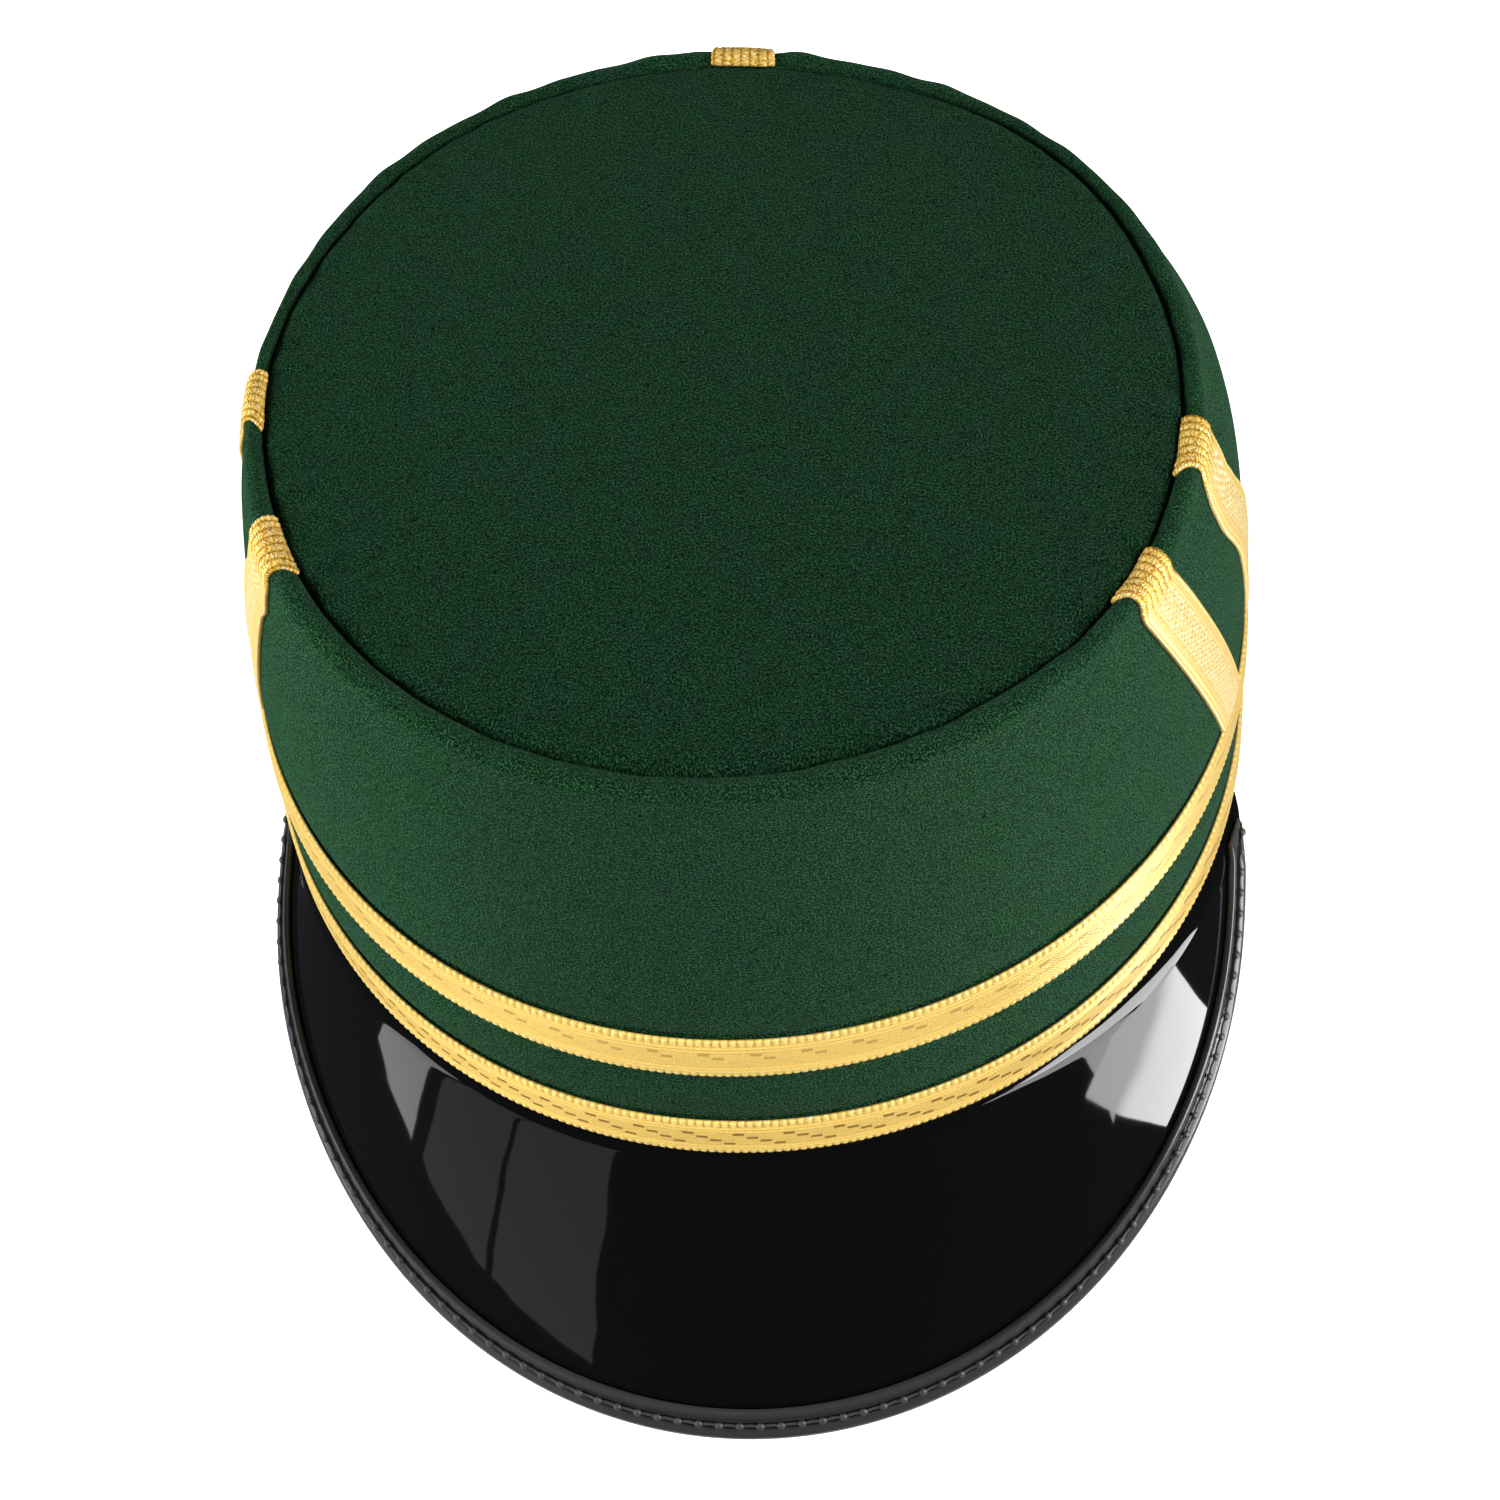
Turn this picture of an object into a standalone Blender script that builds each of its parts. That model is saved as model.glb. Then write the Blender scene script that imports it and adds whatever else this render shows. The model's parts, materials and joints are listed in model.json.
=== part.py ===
"""A green wool hunting cap with gold lace and a long drooping patent peak.

The cap is modelled in its own level frame: the bottom edge of the wall lies in the plane
z = 0, the front faces -Y and the widest place of the base is at y = 0. "Turn" is the angle
round the cap, 0 at the front and growing towards +X. At the end everything hangs on one
empty that tips the cap back until the peak's edge and the back of the wall both touch the
floor, which is how such a cap rests when it is put down.
"""

from math import cos, hypot, pi, radians, sin

import bmesh
import bpy
from mathutils import Matrix, Vector

NAME = "hunting_cap"

# Clearance left between pieces that touch on the real cap.
GAP = 0.0003

# Points closer than this become one where a turned shape closes on its axis.
MERGE_DISTANCE = 0.00001

# Faces that meet at less than this angle are shaded as one round surface.
SMOOTH_ANGLE = radians(40)

# Base of the wall, measured to its outside: a 57 cm head.
BASE_HALF_WIDTH = 0.088
BASE_FRONT = 0.093
BASE_REAR = 0.104

# Top of the wall: a circle, set a little forward.
TOP_RADIUS = 0.0823
TOP_FORWARD = 0.0092
RIM_HEIGHT = 0.1008
WALL_SWELL = 0.0023
WOOL = 0.0025
ROLL_RADIUS = 0.00235

# Padded top, whose edge is sewn in below the rolled rim.
FLANGE = 0.0013
PAD_HEIGHT = 0.0026
PAD_EDGE = 0.0027
PAD_DOME = 0.0016

# Gold lace.
LACE_THICKNESS = 0.0008
LACE_WIDTH = 0.0108
LOWER_LACE_HEIGHT = 0.0004
LACE_SPACING = 0.0268
STRAP_WIDTH = 0.0113

# Where a strap ends on the rolled rim, as an angle from the rim's outside over its top.
STRAP_TUCK = radians(148)

# Share of a strap's way down over which it takes on its full slant.
STRAP_SLANT_SHARE = 0.5

# Small turn used to measure how far a point moves for each radian.
PROBE_TURN = 0.01

# Each strap: its name, its turn at the rim and its turn where it meets the upper lace.
STRAPS = (
    ("strap_right_front", 65.0, 78.5),
    ("strap_right_rear", 86.0, 100.0),
    ("strap_rear", 182.5, 182.5),
    ("strap_left_rear", -89.5, -103.0),
    ("strap_left_front", -65.0, -79.0),
)

# Peak. Lengths run along its surface, out from where it is sewn in.
PEAK_THICKNESS = 0.0020
PEAK_LENGTH = 0.0637
PEAK_END_LENGTH = 0.0025
PEAK_TURN = radians(82)
PEAK_TAPER = 1.15
PEAK_TUCK = 0.0016
PEAK_BEND = 0.0045
PEAK_DROOP_FRONT = radians(67)
PEAK_DROOP_SIDE = radians(68)
PEAK_CURL_RADIUS = 0.230

# Near the peak's ends its first bend takes at most this share of its short length.
PEAK_BEND_SHARE = 0.6

# Binding folded round the peak's outer edge. It stops some columns short of the peak's ends.
BINDING_SKIN = 0.0010
BINDING_WIDTH = 0.0080
BINDING_START = 0.0026
BINDING_GAP = 0.0005
BINDING_SKIPS = 1

# Fineness of the faceted surfaces.
TURNS = 80
WALL_ROWS = 6
WALL_INSIDE_ROWS = 3
ROLL_STEPS = 6
DOME_STEPS = 5
LACE_ROWS = 2
STRAP_ROWS = 6
STRAP_COLUMNS = 4
PEAK_COLUMNS = 48
PEAK_BEND_ROWS = 3
PEAK_ROWS = 7
EDGE_STEPS = 4
LEG_STEPS = 3

# The materials: base colour, roughness, specular level.
MATERIALS = {
    "green_wool": ((0.010, 0.045, 0.020), 0.95, 0.15),
    "gold_lace": ((0.80, 0.52, 0.11), 0.45, 0.50),
    "patent_leather": ((0.004, 0.004, 0.005), 0.06, 0.60),
    "black_binding": ((0.012, 0.012, 0.013), 0.40, 0.50),
}


def clear_scene():
    for obj in list(bpy.data.objects):
        bpy.data.objects.remove(obj)


def material(name):
    found = bpy.data.materials.get(name)
    if found:
        return found
    color, roughness, specular = MATERIALS[name]
    made = bpy.data.materials.new(name)
    made.use_nodes = True
    shader = made.node_tree.nodes["Principled BSDF"]
    shader.inputs["Base Color"].default_value = (*color, 1.0)
    shader.inputs["Roughness"].default_value = roughness
    shader.inputs["Specular IOR Level"].default_value = specular
    return made


def add_object(name, mesh, slot):
    mesh.materials.append(material(slot))
    obj = bpy.data.objects.new(name, mesh)
    bpy.data.collections[NAME].objects.link(obj)
    return obj


def round_shading(mesh):
    mesh.shade_smooth()
    mesh.set_sharp_from_angle(angle=SMOOTH_ANGLE)


def surface(name, grid, slot, closed=False):
    """An open surface through rows of points; closed joins each row's end to its start."""
    rows, columns = len(grid), len(grid[0])
    last = columns if closed else columns - 1
    faces = [
        (
            r * columns + c,
            r * columns + (c + 1) % columns,
            (r + 1) * columns + (c + 1) % columns,
            (r + 1) * columns + c,
        )
        for r in range(rows - 1)
        for c in range(last)
    ]
    mesh = bpy.data.meshes.new(name)
    mesh.from_pydata([point for row in grid for point in row], [], faces)
    round_shading(mesh)
    return add_object(name, mesh, slot)


def thicken(obj, thickness):
    """Gives a surface its thickness, outwards."""
    shell = obj.modifiers.new("Thickness", "SOLIDIFY")
    shell.thickness = thickness
    shell.offset = 1.0
    shell.use_even_offset = True
    return obj


def sweep(name, sections, slot, closed):
    """A solid through closed outlines of equal count, capped unless it runs round."""
    count = len(sections[0])
    shape = bmesh.new()
    rings = [[shape.verts.new(point) for point in section] for section in sections]
    pairs = list(zip(rings, rings[1:]))
    if closed:
        pairs.append((rings[-1], rings[0]))
    else:
        shape.faces.new(rings[0])
        shape.faces.new(reversed(rings[-1]))
    for ring, following in pairs:
        for k in range(count):
            after = (k + 1) % count
            shape.faces.new((ring[k], following[k], following[after], ring[after]))
    bmesh.ops.recalc_face_normals(shape, faces=shape.faces)
    mesh = bpy.data.meshes.new(name)
    shape.to_mesh(mesh)
    shape.free()
    round_shading(mesh)
    return add_object(name, mesh, slot)


def steps(first, last, count):
    return [first + (last - first) * k / count for k in range(count + 1)]


def base_length(turn):
    return BASE_FRONT if cos(turn) > 0 else BASE_REAR


def outward(turn, share):
    """The level direction square to the wall, at a share of its height."""
    base = Vector((sin(turn) / BASE_HALF_WIDTH, -cos(turn) / base_length(turn), 0.0))
    top = Vector((sin(turn), -cos(turn), 0.0))
    return base.normalized().lerp(top, share).normalized()


def wall_point(turn, height, out=0.0):
    """A point at this turn and height, out from the wall's outside."""
    share = height / RIM_HEIGHT
    base = Vector((BASE_HALF_WIDTH * sin(turn), -base_length(turn) * cos(turn), 0.0))
    top = Vector((TOP_RADIUS * sin(turn), -TOP_FORWARD - TOP_RADIUS * cos(turn), 0.0))
    swell = WALL_SWELL * 4.0 * share * (1.0 - share)
    point = base.lerp(top, share) + outward(turn, share) * (swell + out)
    return point + Vector((0.0, 0.0, height))


def roll_point(turn, angle, out=0.0):
    """A point on the rolled rim: angle 0 at its outside, 180 degrees at the seam."""
    centre = wall_point(turn, RIM_HEIGHT, -ROLL_RADIUS)
    radius = ROLL_RADIUS + out
    side = outward(turn, 1.0) * radius * cos(angle)
    return centre + side + Vector((0.0, 0.0, radius * sin(angle)))


def turns_around():
    return [2.0 * pi * k / TURNS for k in range(TURNS)]


def build_side_wall():
    """The wool wall, rolled over inwards at its rim and open below."""
    heights = steps(0.0, RIM_HEIGHT, WALL_ROWS)
    angles = steps(0.0, pi, ROLL_STEPS)[1:]
    inside_heights = steps(RIM_HEIGHT, 0.0, WALL_INSIDE_ROWS)
    sections = []
    for turn in turns_around():
        outside = [wall_point(turn, height) for height in heights]
        roll = [roll_point(turn, angle) for angle in angles]
        inside = [wall_point(turn, height, -WOOL) for height in inside_heights]
        sections.append(outside + roll + inside)
    return sweep("side_wall", sections, "green_wool", closed=True)


def build_crown_top():
    """A turned pad with a thin edge that lies below the rolled rim."""
    pad_radius = TOP_RADIUS - 2.0 * ROLL_RADIUS - GAP
    flange_radius = TOP_RADIUS - WOOL - GAP
    flange_top = RIM_HEIGHT - GAP
    pad_level = RIM_HEIGHT + PAD_HEIGHT
    flat = pad_radius - PAD_EDGE
    dome = [
        (radius, pad_level + PAD_DOME * (1.0 - (radius / flat) ** 2))
        for radius in steps(0.0, flat, DOME_STEPS)
    ]
    shoulder = [
        (flat + PAD_EDGE * sin(angle), pad_level - PAD_EDGE * (1.0 - cos(angle)))
        for angle in steps(0.0, pi / 2.0, EDGE_STEPS)[1:]
    ]
    edge = [
        (pad_radius, flange_top),
        (flange_radius, flange_top),
        (flange_radius, flange_top - FLANGE),
        (0.0, flange_top - FLANGE),
    ]
    profile = dome + shoulder + edge
    mesh = bpy.data.meshes.new("crown_top")
    links = [(k, k + 1) for k in range(len(profile) - 1)]
    mesh.from_pydata([(radius, 0.0, height) for radius, height in profile], links, [])
    obj = add_object("crown_top", mesh, "green_wool")
    obj.location = (0.0, -TOP_FORWARD, 0.0)
    turned = obj.modifiers.new("Turned", "SCREW")
    turned.steps = TURNS
    turned.render_steps = TURNS
    turned.use_merge_vertices = True
    turned.merge_threshold = MERGE_DISTANCE
    return obj


def build_lace(name, height):
    """A band of lace round the wall, whose lower edge is at this height."""
    heights = steps(height, height + LACE_WIDTH, LACE_ROWS)
    grid = [[wall_point(turn, level, GAP) for turn in turns_around()] for level in heights]
    return thicken(surface(name, grid, "gold_lace", closed=True), LACE_THICKNESS)


def strap_row(turn, place, slant):
    """Points across a strap: place gives the point for a turn, slant widens a leaning row."""
    reach = place(turn + PROBE_TURN) - place(turn - PROBE_TURN)
    speed = reach.length / (2.0 * PROBE_TURN)
    half = STRAP_WIDTH * slant / 2.0 / speed
    return [place(across) for across in steps(turn - half, turn + half, STRAP_COLUMNS)]


def build_strap(name, top_turn, low_turn):
    """A lace strap from the seam over the rolled rim and down to the upper lace."""
    lowest = LOWER_LACE_HEIGHT + LACE_SPACING + LACE_WIDTH + GAP
    lean = (low_turn - top_turn) * TOP_RADIUS / (RIM_HEIGHT - lowest)
    grid = []
    for angle in steps(STRAP_TUCK, 0.0, ROLL_STEPS):
        row = strap_row(top_turn, lambda turn, a=angle: roll_point(turn, a, GAP), 1.0)
        grid.append(row)
    for share in steps(0.0, 1.0, STRAP_ROWS)[1:]:
        height = RIM_HEIGHT + (lowest - RIM_HEIGHT) * share
        turn = top_turn + (low_turn - top_turn) * share
        slant = 1.0 + (hypot(1.0, lean) - 1.0) * min(1.0, share / STRAP_SLANT_SHARE)
        row = strap_row(turn, lambda t, h=height: wall_point(t, h, GAP), slant)
        grid.append(row)
    grid.reverse()
    return thicken(surface(name, grid, "gold_lace"), LACE_THICKNESS)


def peak_length(turn):
    """Length of the peak along its surface, from the seam to the binding's outer edge."""
    side = abs(turn) / PEAK_TURN
    taper = max(0.0, 1.0 - side * side) ** PEAK_TAPER
    return PEAK_END_LENGTH + (PEAK_LENGTH - PEAK_END_LENGTH) * taper


def peak_bend(turn):
    """The angle that the peak reaches after its first sharp bend."""
    side = abs(turn) / PEAK_TURN
    droop = PEAK_DROOP_FRONT + (PEAK_DROOP_SIDE - PEAK_DROOP_FRONT) * side * side
    return droop - peak_length(turn) / PEAK_CURL_RADIUS / 2.0


def peak_point(turn, along, lift=0.0):
    """A point on the peak's upper side: level below the wall, a bend, then a gentle curl."""
    bend = peak_bend(turn)
    angle = min(max(along, 0.0) / PEAK_BEND, bend)
    out = min(along, 0.0) + PEAK_BEND * sin(angle)
    down = PEAK_BEND * (1.0 - cos(angle))
    rest = along - PEAK_BEND * bend
    if rest > 0.0:
        angle = bend + rest / PEAK_CURL_RADIUS
        out += PEAK_CURL_RADIUS * (sin(angle) - sin(bend))
        down += PEAK_CURL_RADIUS * (cos(bend) - cos(angle))
    out += lift * sin(angle) - PEAK_TUCK
    down += GAP - lift * cos(angle)
    return wall_point(turn, 0.0, out) - Vector((0.0, 0.0, down))


def peak_turns():
    return steps(-PEAK_TURN, PEAK_TURN, PEAK_COLUMNS)


def peak_stations(turn, last):
    """Distances along the peak at which its surface has a row of points."""
    bend = min(PEAK_BEND * peak_bend(turn), last * PEAK_BEND_SHARE)
    margin = -(WOOL - PEAK_TUCK)
    return [margin] + steps(0.0, bend, PEAK_BEND_ROWS) + steps(bend, last, PEAK_ROWS)[1:]


def peak_section(turn):
    """The peak's outline at one turn: along its upper side and back along its under side."""
    last = peak_length(turn) - BINDING_SKIN - BINDING_GAP
    stations = peak_stations(turn, last)
    upper = [peak_point(turn, along) for along in stations]
    under = [peak_point(turn, along, -PEAK_THICKNESS) for along in reversed(stations)]
    return upper + under


def build_peak():
    sections = [peak_section(turn) for turn in peak_turns()]
    return sweep("peak", sections, "patent_leather", closed=False)


def binding_section(turn):
    """A U-shaped outline round the peak's edge, open towards the wall."""
    edge = peak_length(turn)
    start = max(edge - BINDING_WIDTH, BINDING_START)
    top, low = BINDING_GAP, -PEAK_THICKNESS - BINDING_GAP
    middle, reach = (top + low) / 2.0, (top - low) / 2.0 + BINDING_SKIN
    centre = max(edge - reach, start)
    nose = edge - centre
    leg = steps(start, centre, LEG_STEPS)
    outline = [(along, top + BINDING_SKIN) for along in leg[:-1]]
    outline += [
        (centre + nose * sin(angle), middle + reach * cos(angle))
        for angle in steps(0.0, pi, EDGE_STEPS)
    ]
    outline += [(along, low - BINDING_SKIN) for along in reversed(leg[:-1])]
    slot = steps(start, edge - BINDING_SKIN, LEG_STEPS)
    outline += [(along, low) for along in slot]
    outline += [(along, top) for along in reversed(slot)]
    return [peak_point(turn, along, lift) for along, lift in outline]


def build_peak_binding():
    turns = peak_turns()[BINDING_SKIPS:-BINDING_SKIPS]
    sections = [binding_section(turn) for turn in turns]
    return sweep("peak_binding", sections, "black_binding", closed=False)


def world_points(objects, matrix):
    """The points of the finished solids, moved by a matrix."""
    bpy.context.view_layer.update()
    graph = bpy.context.evaluated_depsgraph_get()
    points = []
    for obj in objects:
        evaluated = obj.evaluated_get(graph)
        place = matrix @ obj.matrix_world
        points += [place @ vertex.co for vertex in evaluated.to_mesh().vertices]
        evaluated.to_mesh_clear()
    return points


def rest_tilt(objects):
    """The angle between the bottom of the wall and a floor touched by peak and back."""
    points = world_points(objects, Matrix.Identity(4))
    slopes = [-point.z / (BASE_REAR - point.y) for point in points if point.z < -GAP]
    steepest = max(slopes)
    return Vector((1.0, steepest)).angle(Vector((1.0, 0.0)))


def rest_on_floor(objects):
    """Hangs every piece on one empty that tips and lifts the cap on to the floor."""
    tilt = Matrix.Rotation(-rest_tilt(objects), 4, "X")
    points = world_points(objects, tilt)
    low = Vector(min(point[k] for point in points) for k in range(3))
    high = Vector(max(point[k] for point in points) for k in range(3))
    shift = Vector((-(low.x + high.x) / 2.0, -(low.y + high.y) / 2.0, -low.z))
    rest = bpy.data.objects.new("rest", None)
    bpy.data.collections[NAME].objects.link(rest)
    rest.matrix_world = Matrix.Translation(shift) @ tilt
    for obj in objects:
        obj.parent = rest


def main():
    clear_scene()
    collection = bpy.data.collections.new(NAME)
    bpy.context.scene.collection.children.link(collection)
    upper_height = LOWER_LACE_HEIGHT + LACE_SPACING
    objects = [
        build_side_wall(),
        build_crown_top(),
        build_lace("lower_lace", LOWER_LACE_HEIGHT),
        build_lace("upper_lace", upper_height),
        build_peak(),
        build_peak_binding(),
    ]
    for name, top_turn, low_turn in STRAPS:
        objects.append(build_strap(name, radians(top_turn), radians(low_turn)))
    rest_on_floor(objects)


main()
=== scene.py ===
"""A green wool hunting cap with gold lace and a long patent peak, dressed round its frame.

Every shape is worked out in the cap's own level frame: the bottom edge of the wall lies in
z = 0, the front faces -Y and the widest place of the base is at y = 0. A "turn" is the angle
round the cap, 0 at the front and growing towards +X. in_row_frame() then tips the points the
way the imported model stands, on the edge of its peak and the back of its wall.
"""

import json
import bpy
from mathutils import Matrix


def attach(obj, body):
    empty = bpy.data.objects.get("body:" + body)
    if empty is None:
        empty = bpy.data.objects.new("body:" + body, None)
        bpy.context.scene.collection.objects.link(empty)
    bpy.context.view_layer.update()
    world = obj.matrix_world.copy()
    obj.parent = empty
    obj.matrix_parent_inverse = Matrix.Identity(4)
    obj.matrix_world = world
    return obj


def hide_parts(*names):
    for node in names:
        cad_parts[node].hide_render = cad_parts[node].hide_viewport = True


bl_info = {
    "name": "Hunting cap",
    "version": (1, 0, 0),
    "blender": (4, 5, 0),
    "location": "View3D > Sidebar > Cap",
    "description": "Builds a green wool hunting cap with gold lace and a patent peak",
    "category": "Add Mesh",
}

from functools import partial, reduce
from math import atan2, cos, pi, radians, sin

import bpy
import numpy as np
from bpy.props import FloatProperty, FloatVectorProperty, IntProperty, PointerProperty
from bpy.types import Operator, Panel, PropertyGroup
from mathutils import Matrix, Vector

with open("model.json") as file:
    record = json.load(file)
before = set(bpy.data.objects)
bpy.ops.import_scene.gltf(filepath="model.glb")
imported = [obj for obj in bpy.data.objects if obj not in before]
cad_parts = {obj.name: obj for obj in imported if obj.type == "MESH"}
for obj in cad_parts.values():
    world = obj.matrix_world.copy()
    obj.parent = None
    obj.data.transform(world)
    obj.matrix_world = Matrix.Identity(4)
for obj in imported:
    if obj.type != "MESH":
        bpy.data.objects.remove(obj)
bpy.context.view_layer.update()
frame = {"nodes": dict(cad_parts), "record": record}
BODY = "root"

# Sizes of the cloth shell, in metres. Its solids share all but the nips, bulges and puffs.
GAP = 0.0003
ROLL_RADIUS = 0.00235
WALL_SWELL = 0.0023
WOOL = 0.0025
STRIPE_PUFF = 0.0004
NIP_DEPTH = 0.0009
NIP_REACH = 0.0007
NIP_OFFSET = 0.0004
NIP_FADE = 0.8
NIP_FADE_TURNS = (radians(50), radians(76))
STRAP_NIP = 0.0004
STRAP_BULGE = 0.0004
PAD_HEIGHT = 0.0026
PAD_EDGE = 0.0040
PAD_DOME = 0.0040
FLANGE = 0.0013

# Heights of the lace on the wall, how far its back lies off it, and the way of the straps.
LACE_BACK = 0.00004
LACE_WIDTH = 0.0108
LOWER_LACE_HEIGHT = 0.0004
UPPER_LACE_HEIGHT = 0.0272
STRAP_WIDTH = 0.0113
STRAP_TUCK = radians(148)

# Each strap: its node, its turn at the rim and where it meets the upper lace, in degrees.
STRAPS = (
    ("strap_right_front", 65.0, 78.5),
    ("strap_right_rear", 86.0, 95.0),
    ("strap_rear", 182.5, 182.5),
    ("strap_left_rear", -89.5, -103.0),
    ("strap_left_front", -66.0, -77.5),
)

# Straps that sway on their way down: how far in degrees, and at which share of the fall with
# what reach.
NO_SWAY = (0.0, 0.0, 1.0)
STRAP_SWAY = {
    "strap_right_rear": (-2.3, 0.17, 0.22),
    "strap_left_front": (0.6, 0.13, 0.06),
}

# The peak, as its solid has it. Lengths run along its surface, out from the seam.
PEAK_THICKNESS = 0.0020
PEAK_LENGTH = 0.0637
PEAK_END_LENGTH = 0.0025
PEAK_TURN = radians(82)
PEAK_TAPER = 1.15
PEAK_TUCK = 0.0016
PEAK_BEND = 0.0045
PEAK_DROOP_FRONT = radians(67)
PEAK_DROOP_SIDE = radians(68)
PEAK_CURL_RADIUS = 0.230
PEAK_BEND_SHARE = 0.6

# The peak's ends are drawn in towards the head: turn, reach round the cap, distance.
PEAK_DRAWN_IN = ((radians(-78), radians(12), 0.0021), (radians(78), radians(12), 0.0009))
PEAK_DRAWN_FROM = 0.006
BINDING_SKIN = 0.0010
BINDING_GAP = 0.0005
BINDING_START = 0.0026
BINDING_TURN = radians(78.6)

# Hand-sewn lines that leave their circles: turn in degrees, distance outwards in millimetres.
SEAM_LINE = (
    (-172, 0.7), (-150, 1.8), (-137, 2.6), (-115, 1.9), (-93, 1.8), (-79, 0.4), (-60, 0.1),
    (-45, -0.5), (-25, -0.9), (25, -1.0), (42, -0.7), (60, 1.1), (72, 0.3), (100, 0.1),
    (116, 0.0), (128, 1.0), (150, 1.1), (160, 0.0), (176, 0.3),
)
RIM_LINE = (
    (-175, -0.4), (-150, -0.4), (-140, 0.2), (-125, 0.45), (-110, -0.7), (-80, -0.7),
    (-60, 0.0), (70, 0.0), (80, -0.4), (90, -0.9), (105, -0.9), (121, -0.7), (137, -1.1),
    (160, -1.5), (174, -1.4),
)
RIM_LINE_REACH = 0.011
HAND_ROUNDING = 7.0

# Low swellings and hollows of the hand-blocked wall: turn and height of the middle, how far
# each reaches round and up, and how far it stands out.
WALL_SWELLINGS = (
    (radians(103), 0.082, radians(28), 0.027, 0.0018),
    (radians(90), 0.005, radians(32), 0.032, -0.0018),
    (radians(0), 0.015, radians(60), 0.040, 0.0006),
)

# Waves along the rolled rim: how many round the cap, height in metres, phase.
RIM_WAVES = ((19, 0.00018, 0.4), (37, 0.00024, 1.9), (57, 0.00014, 3.1))

# Reach of the rim's nip under a strap, place of the bulge beside it and its reach, in widths of
# the strap.
STRAP_NIP_REACH = 0.55
STRAP_BULGE_PLACE = 0.85
STRAP_BULGE_REACH = 0.35


def linear(code):
    """An sRGB hex colour as linear red, green and blue."""
    shares = [int(code[k : k + 2], 16) / 255.0 for k in (1, 3, 5)]
    return [s / 12.92 if s <= 0.04045 else ((s + 0.055) / 1.055) ** 2.4 for s in shares]


def colour(name, description, code):
    """A colour that a user may change, from its sRGB hex value."""
    return FloatVectorProperty(
        name=name, description=description, subtype="COLOR", size=3, min=0.0, max=1.0,
        default=linear(code),
    )


def length(name, description, default):
    """A length in metres that a user may change."""
    return FloatProperty(
        name=name, description=description, default=default, min=0.0, unit="LENGTH",
        subtype="DISTANCE", precision=5,
    )


def angle(name, description, degrees):
    """An angle that a user may change, from its degrees."""
    return FloatProperty(
        name=name, description=description, default=radians(degrees), subtype="ANGLE",
        unit="ROTATION",
    )


class ClothSettings(PropertyGroup):
    deep: colour("Deep green", "Wool between the fibres", "#021006")
    middle: colour("Green", "Body colour of the wool", "#0c321a")
    fibre: colour("Fibre green", "Lightest fibres of the nap", "#42704a")
    cool_fibre: colour("Cool fibre", "Lightest fibres in the bluer clouds", "#426d54")
    sheen: colour("Sheen", "Tint of the nap at a grazing look", "#9fd0ae")
    fibre_width: length("Fibre width", "Width of a strand of the nap", 0.00030)
    fibre_length: length("Fibre length", "Length of a strand of the nap", 0.0015)
    pucker: length("Pucker", "Height of the tucks beside the seam of the top", 0.00018)


class LaceSettings(PropertyGroup):
    gold: colour("Gold", "Gilt thread", "#ffdd80")
    # Painted shade: the gold that the furrows and gaps between cords, picots and beads are painted
    # with, where shade falls.
    shaded_gold: colour("Deep gold", "Thread in the furrows", "#e0ae42")
    # Painted sheen: the straps' gilt on the wall is painted paler and duller than the bands' gold,
    # standing in for the key light's broad reflection.
    painted_sheen_cream: colour("Cream", "Washed-out gilt of the straps on the wall", "#dcc485")
    bright_wire: colour("Bright wire", "Beads of wire over the rim", "#ffd050")
    # Partly painted: the flat strips are a real pattern, and their dark brown is a painted
    # reflection of the dark studio in their flat metal.
    dash: colour("Dash", "Flat strips of the pattern, seen dark", "#8f6a2a")
    # Painted reflection: the bright colour painted as glints of the lights on the strips, picots
    # and beads.
    painted_glint: colour("Glint", "Flat strips of the pattern, seen bright", "#fff6dc")
    shadow: colour("Shadow", "Gaps between the beads of wire", "#8a6420")
    repeat: length("Repeat", "Length of one repeat of the pattern", 0.0088)
    dash_length: length("Dash length", "Length of a flat strip", 0.00205)
    dash_step: length("Dash step", "How far each row's strip lies past the last", 0.00235)
    picots: IntProperty(name="Picots", description="Edge loops in a repeat", default=6, min=1)


class PeakSettings(PropertyGroup):
    black: colour("Black", "Lacquer of the peak", "#070708")
    # The cloth's own grey; only the groove beyond the stitches is painted black, as painted shade.
    unshaded: colour("Rubbed black", "Cloth of the binding where it is rubbed", "#373739")
    gloss: FloatProperty(
        name="Roughness", description="Roughness of the lacquer", default=0.04, min=0.0,
        max=1.0, subtype="FACTOR",
    )
    thread: colour("Thread", "Waxed thread of the stitches", "#424244")
    thread_pitch: length("Stitch pitch", "Distance between two stitches", 0.0037)
    binding_width: length("Binding width", "Width of the binding's upper leg", 0.0078)
    binding_reach: length("Binding reach", "How far the binding stands out in front", 0.0010)


class StudioSettings(PropertyGroup):
    azimuth: angle("Azimuth", "Camera's side angle, 0 in front of the peak", 16.3665)
    elevation: angle("Elevation", "Camera's height above the horizon", 67.9485)
    roll: angle("Roll", "Camera's turn about its own axis", -13.4473)
    distance: length("Distance", "Camera to the point that it aims at", 1.0276)
    lens: FloatProperty(
        name="Lens", description="Focal length in mm", default=138.81, unit="CAMERA"
    )


class CapSettings(PropertyGroup):
    cloth: PointerProperty(type=ClothSettings)
    lace: PointerProperty(type=LaceSettings)
    peak: PointerProperty(type=PeakSettings)
    studio: PointerProperty(type=StudioSettings)


# Frame of the cap


def tilt_matrix():
    """Rotation from the cap's level frame to the row frame, from the top's flat underside."""
    down = frame["record"]["mounts"][0]["axis"]
    return np.array(Matrix.Rotation(atan2(down[1], -down[2]), 3, "X"))


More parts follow.
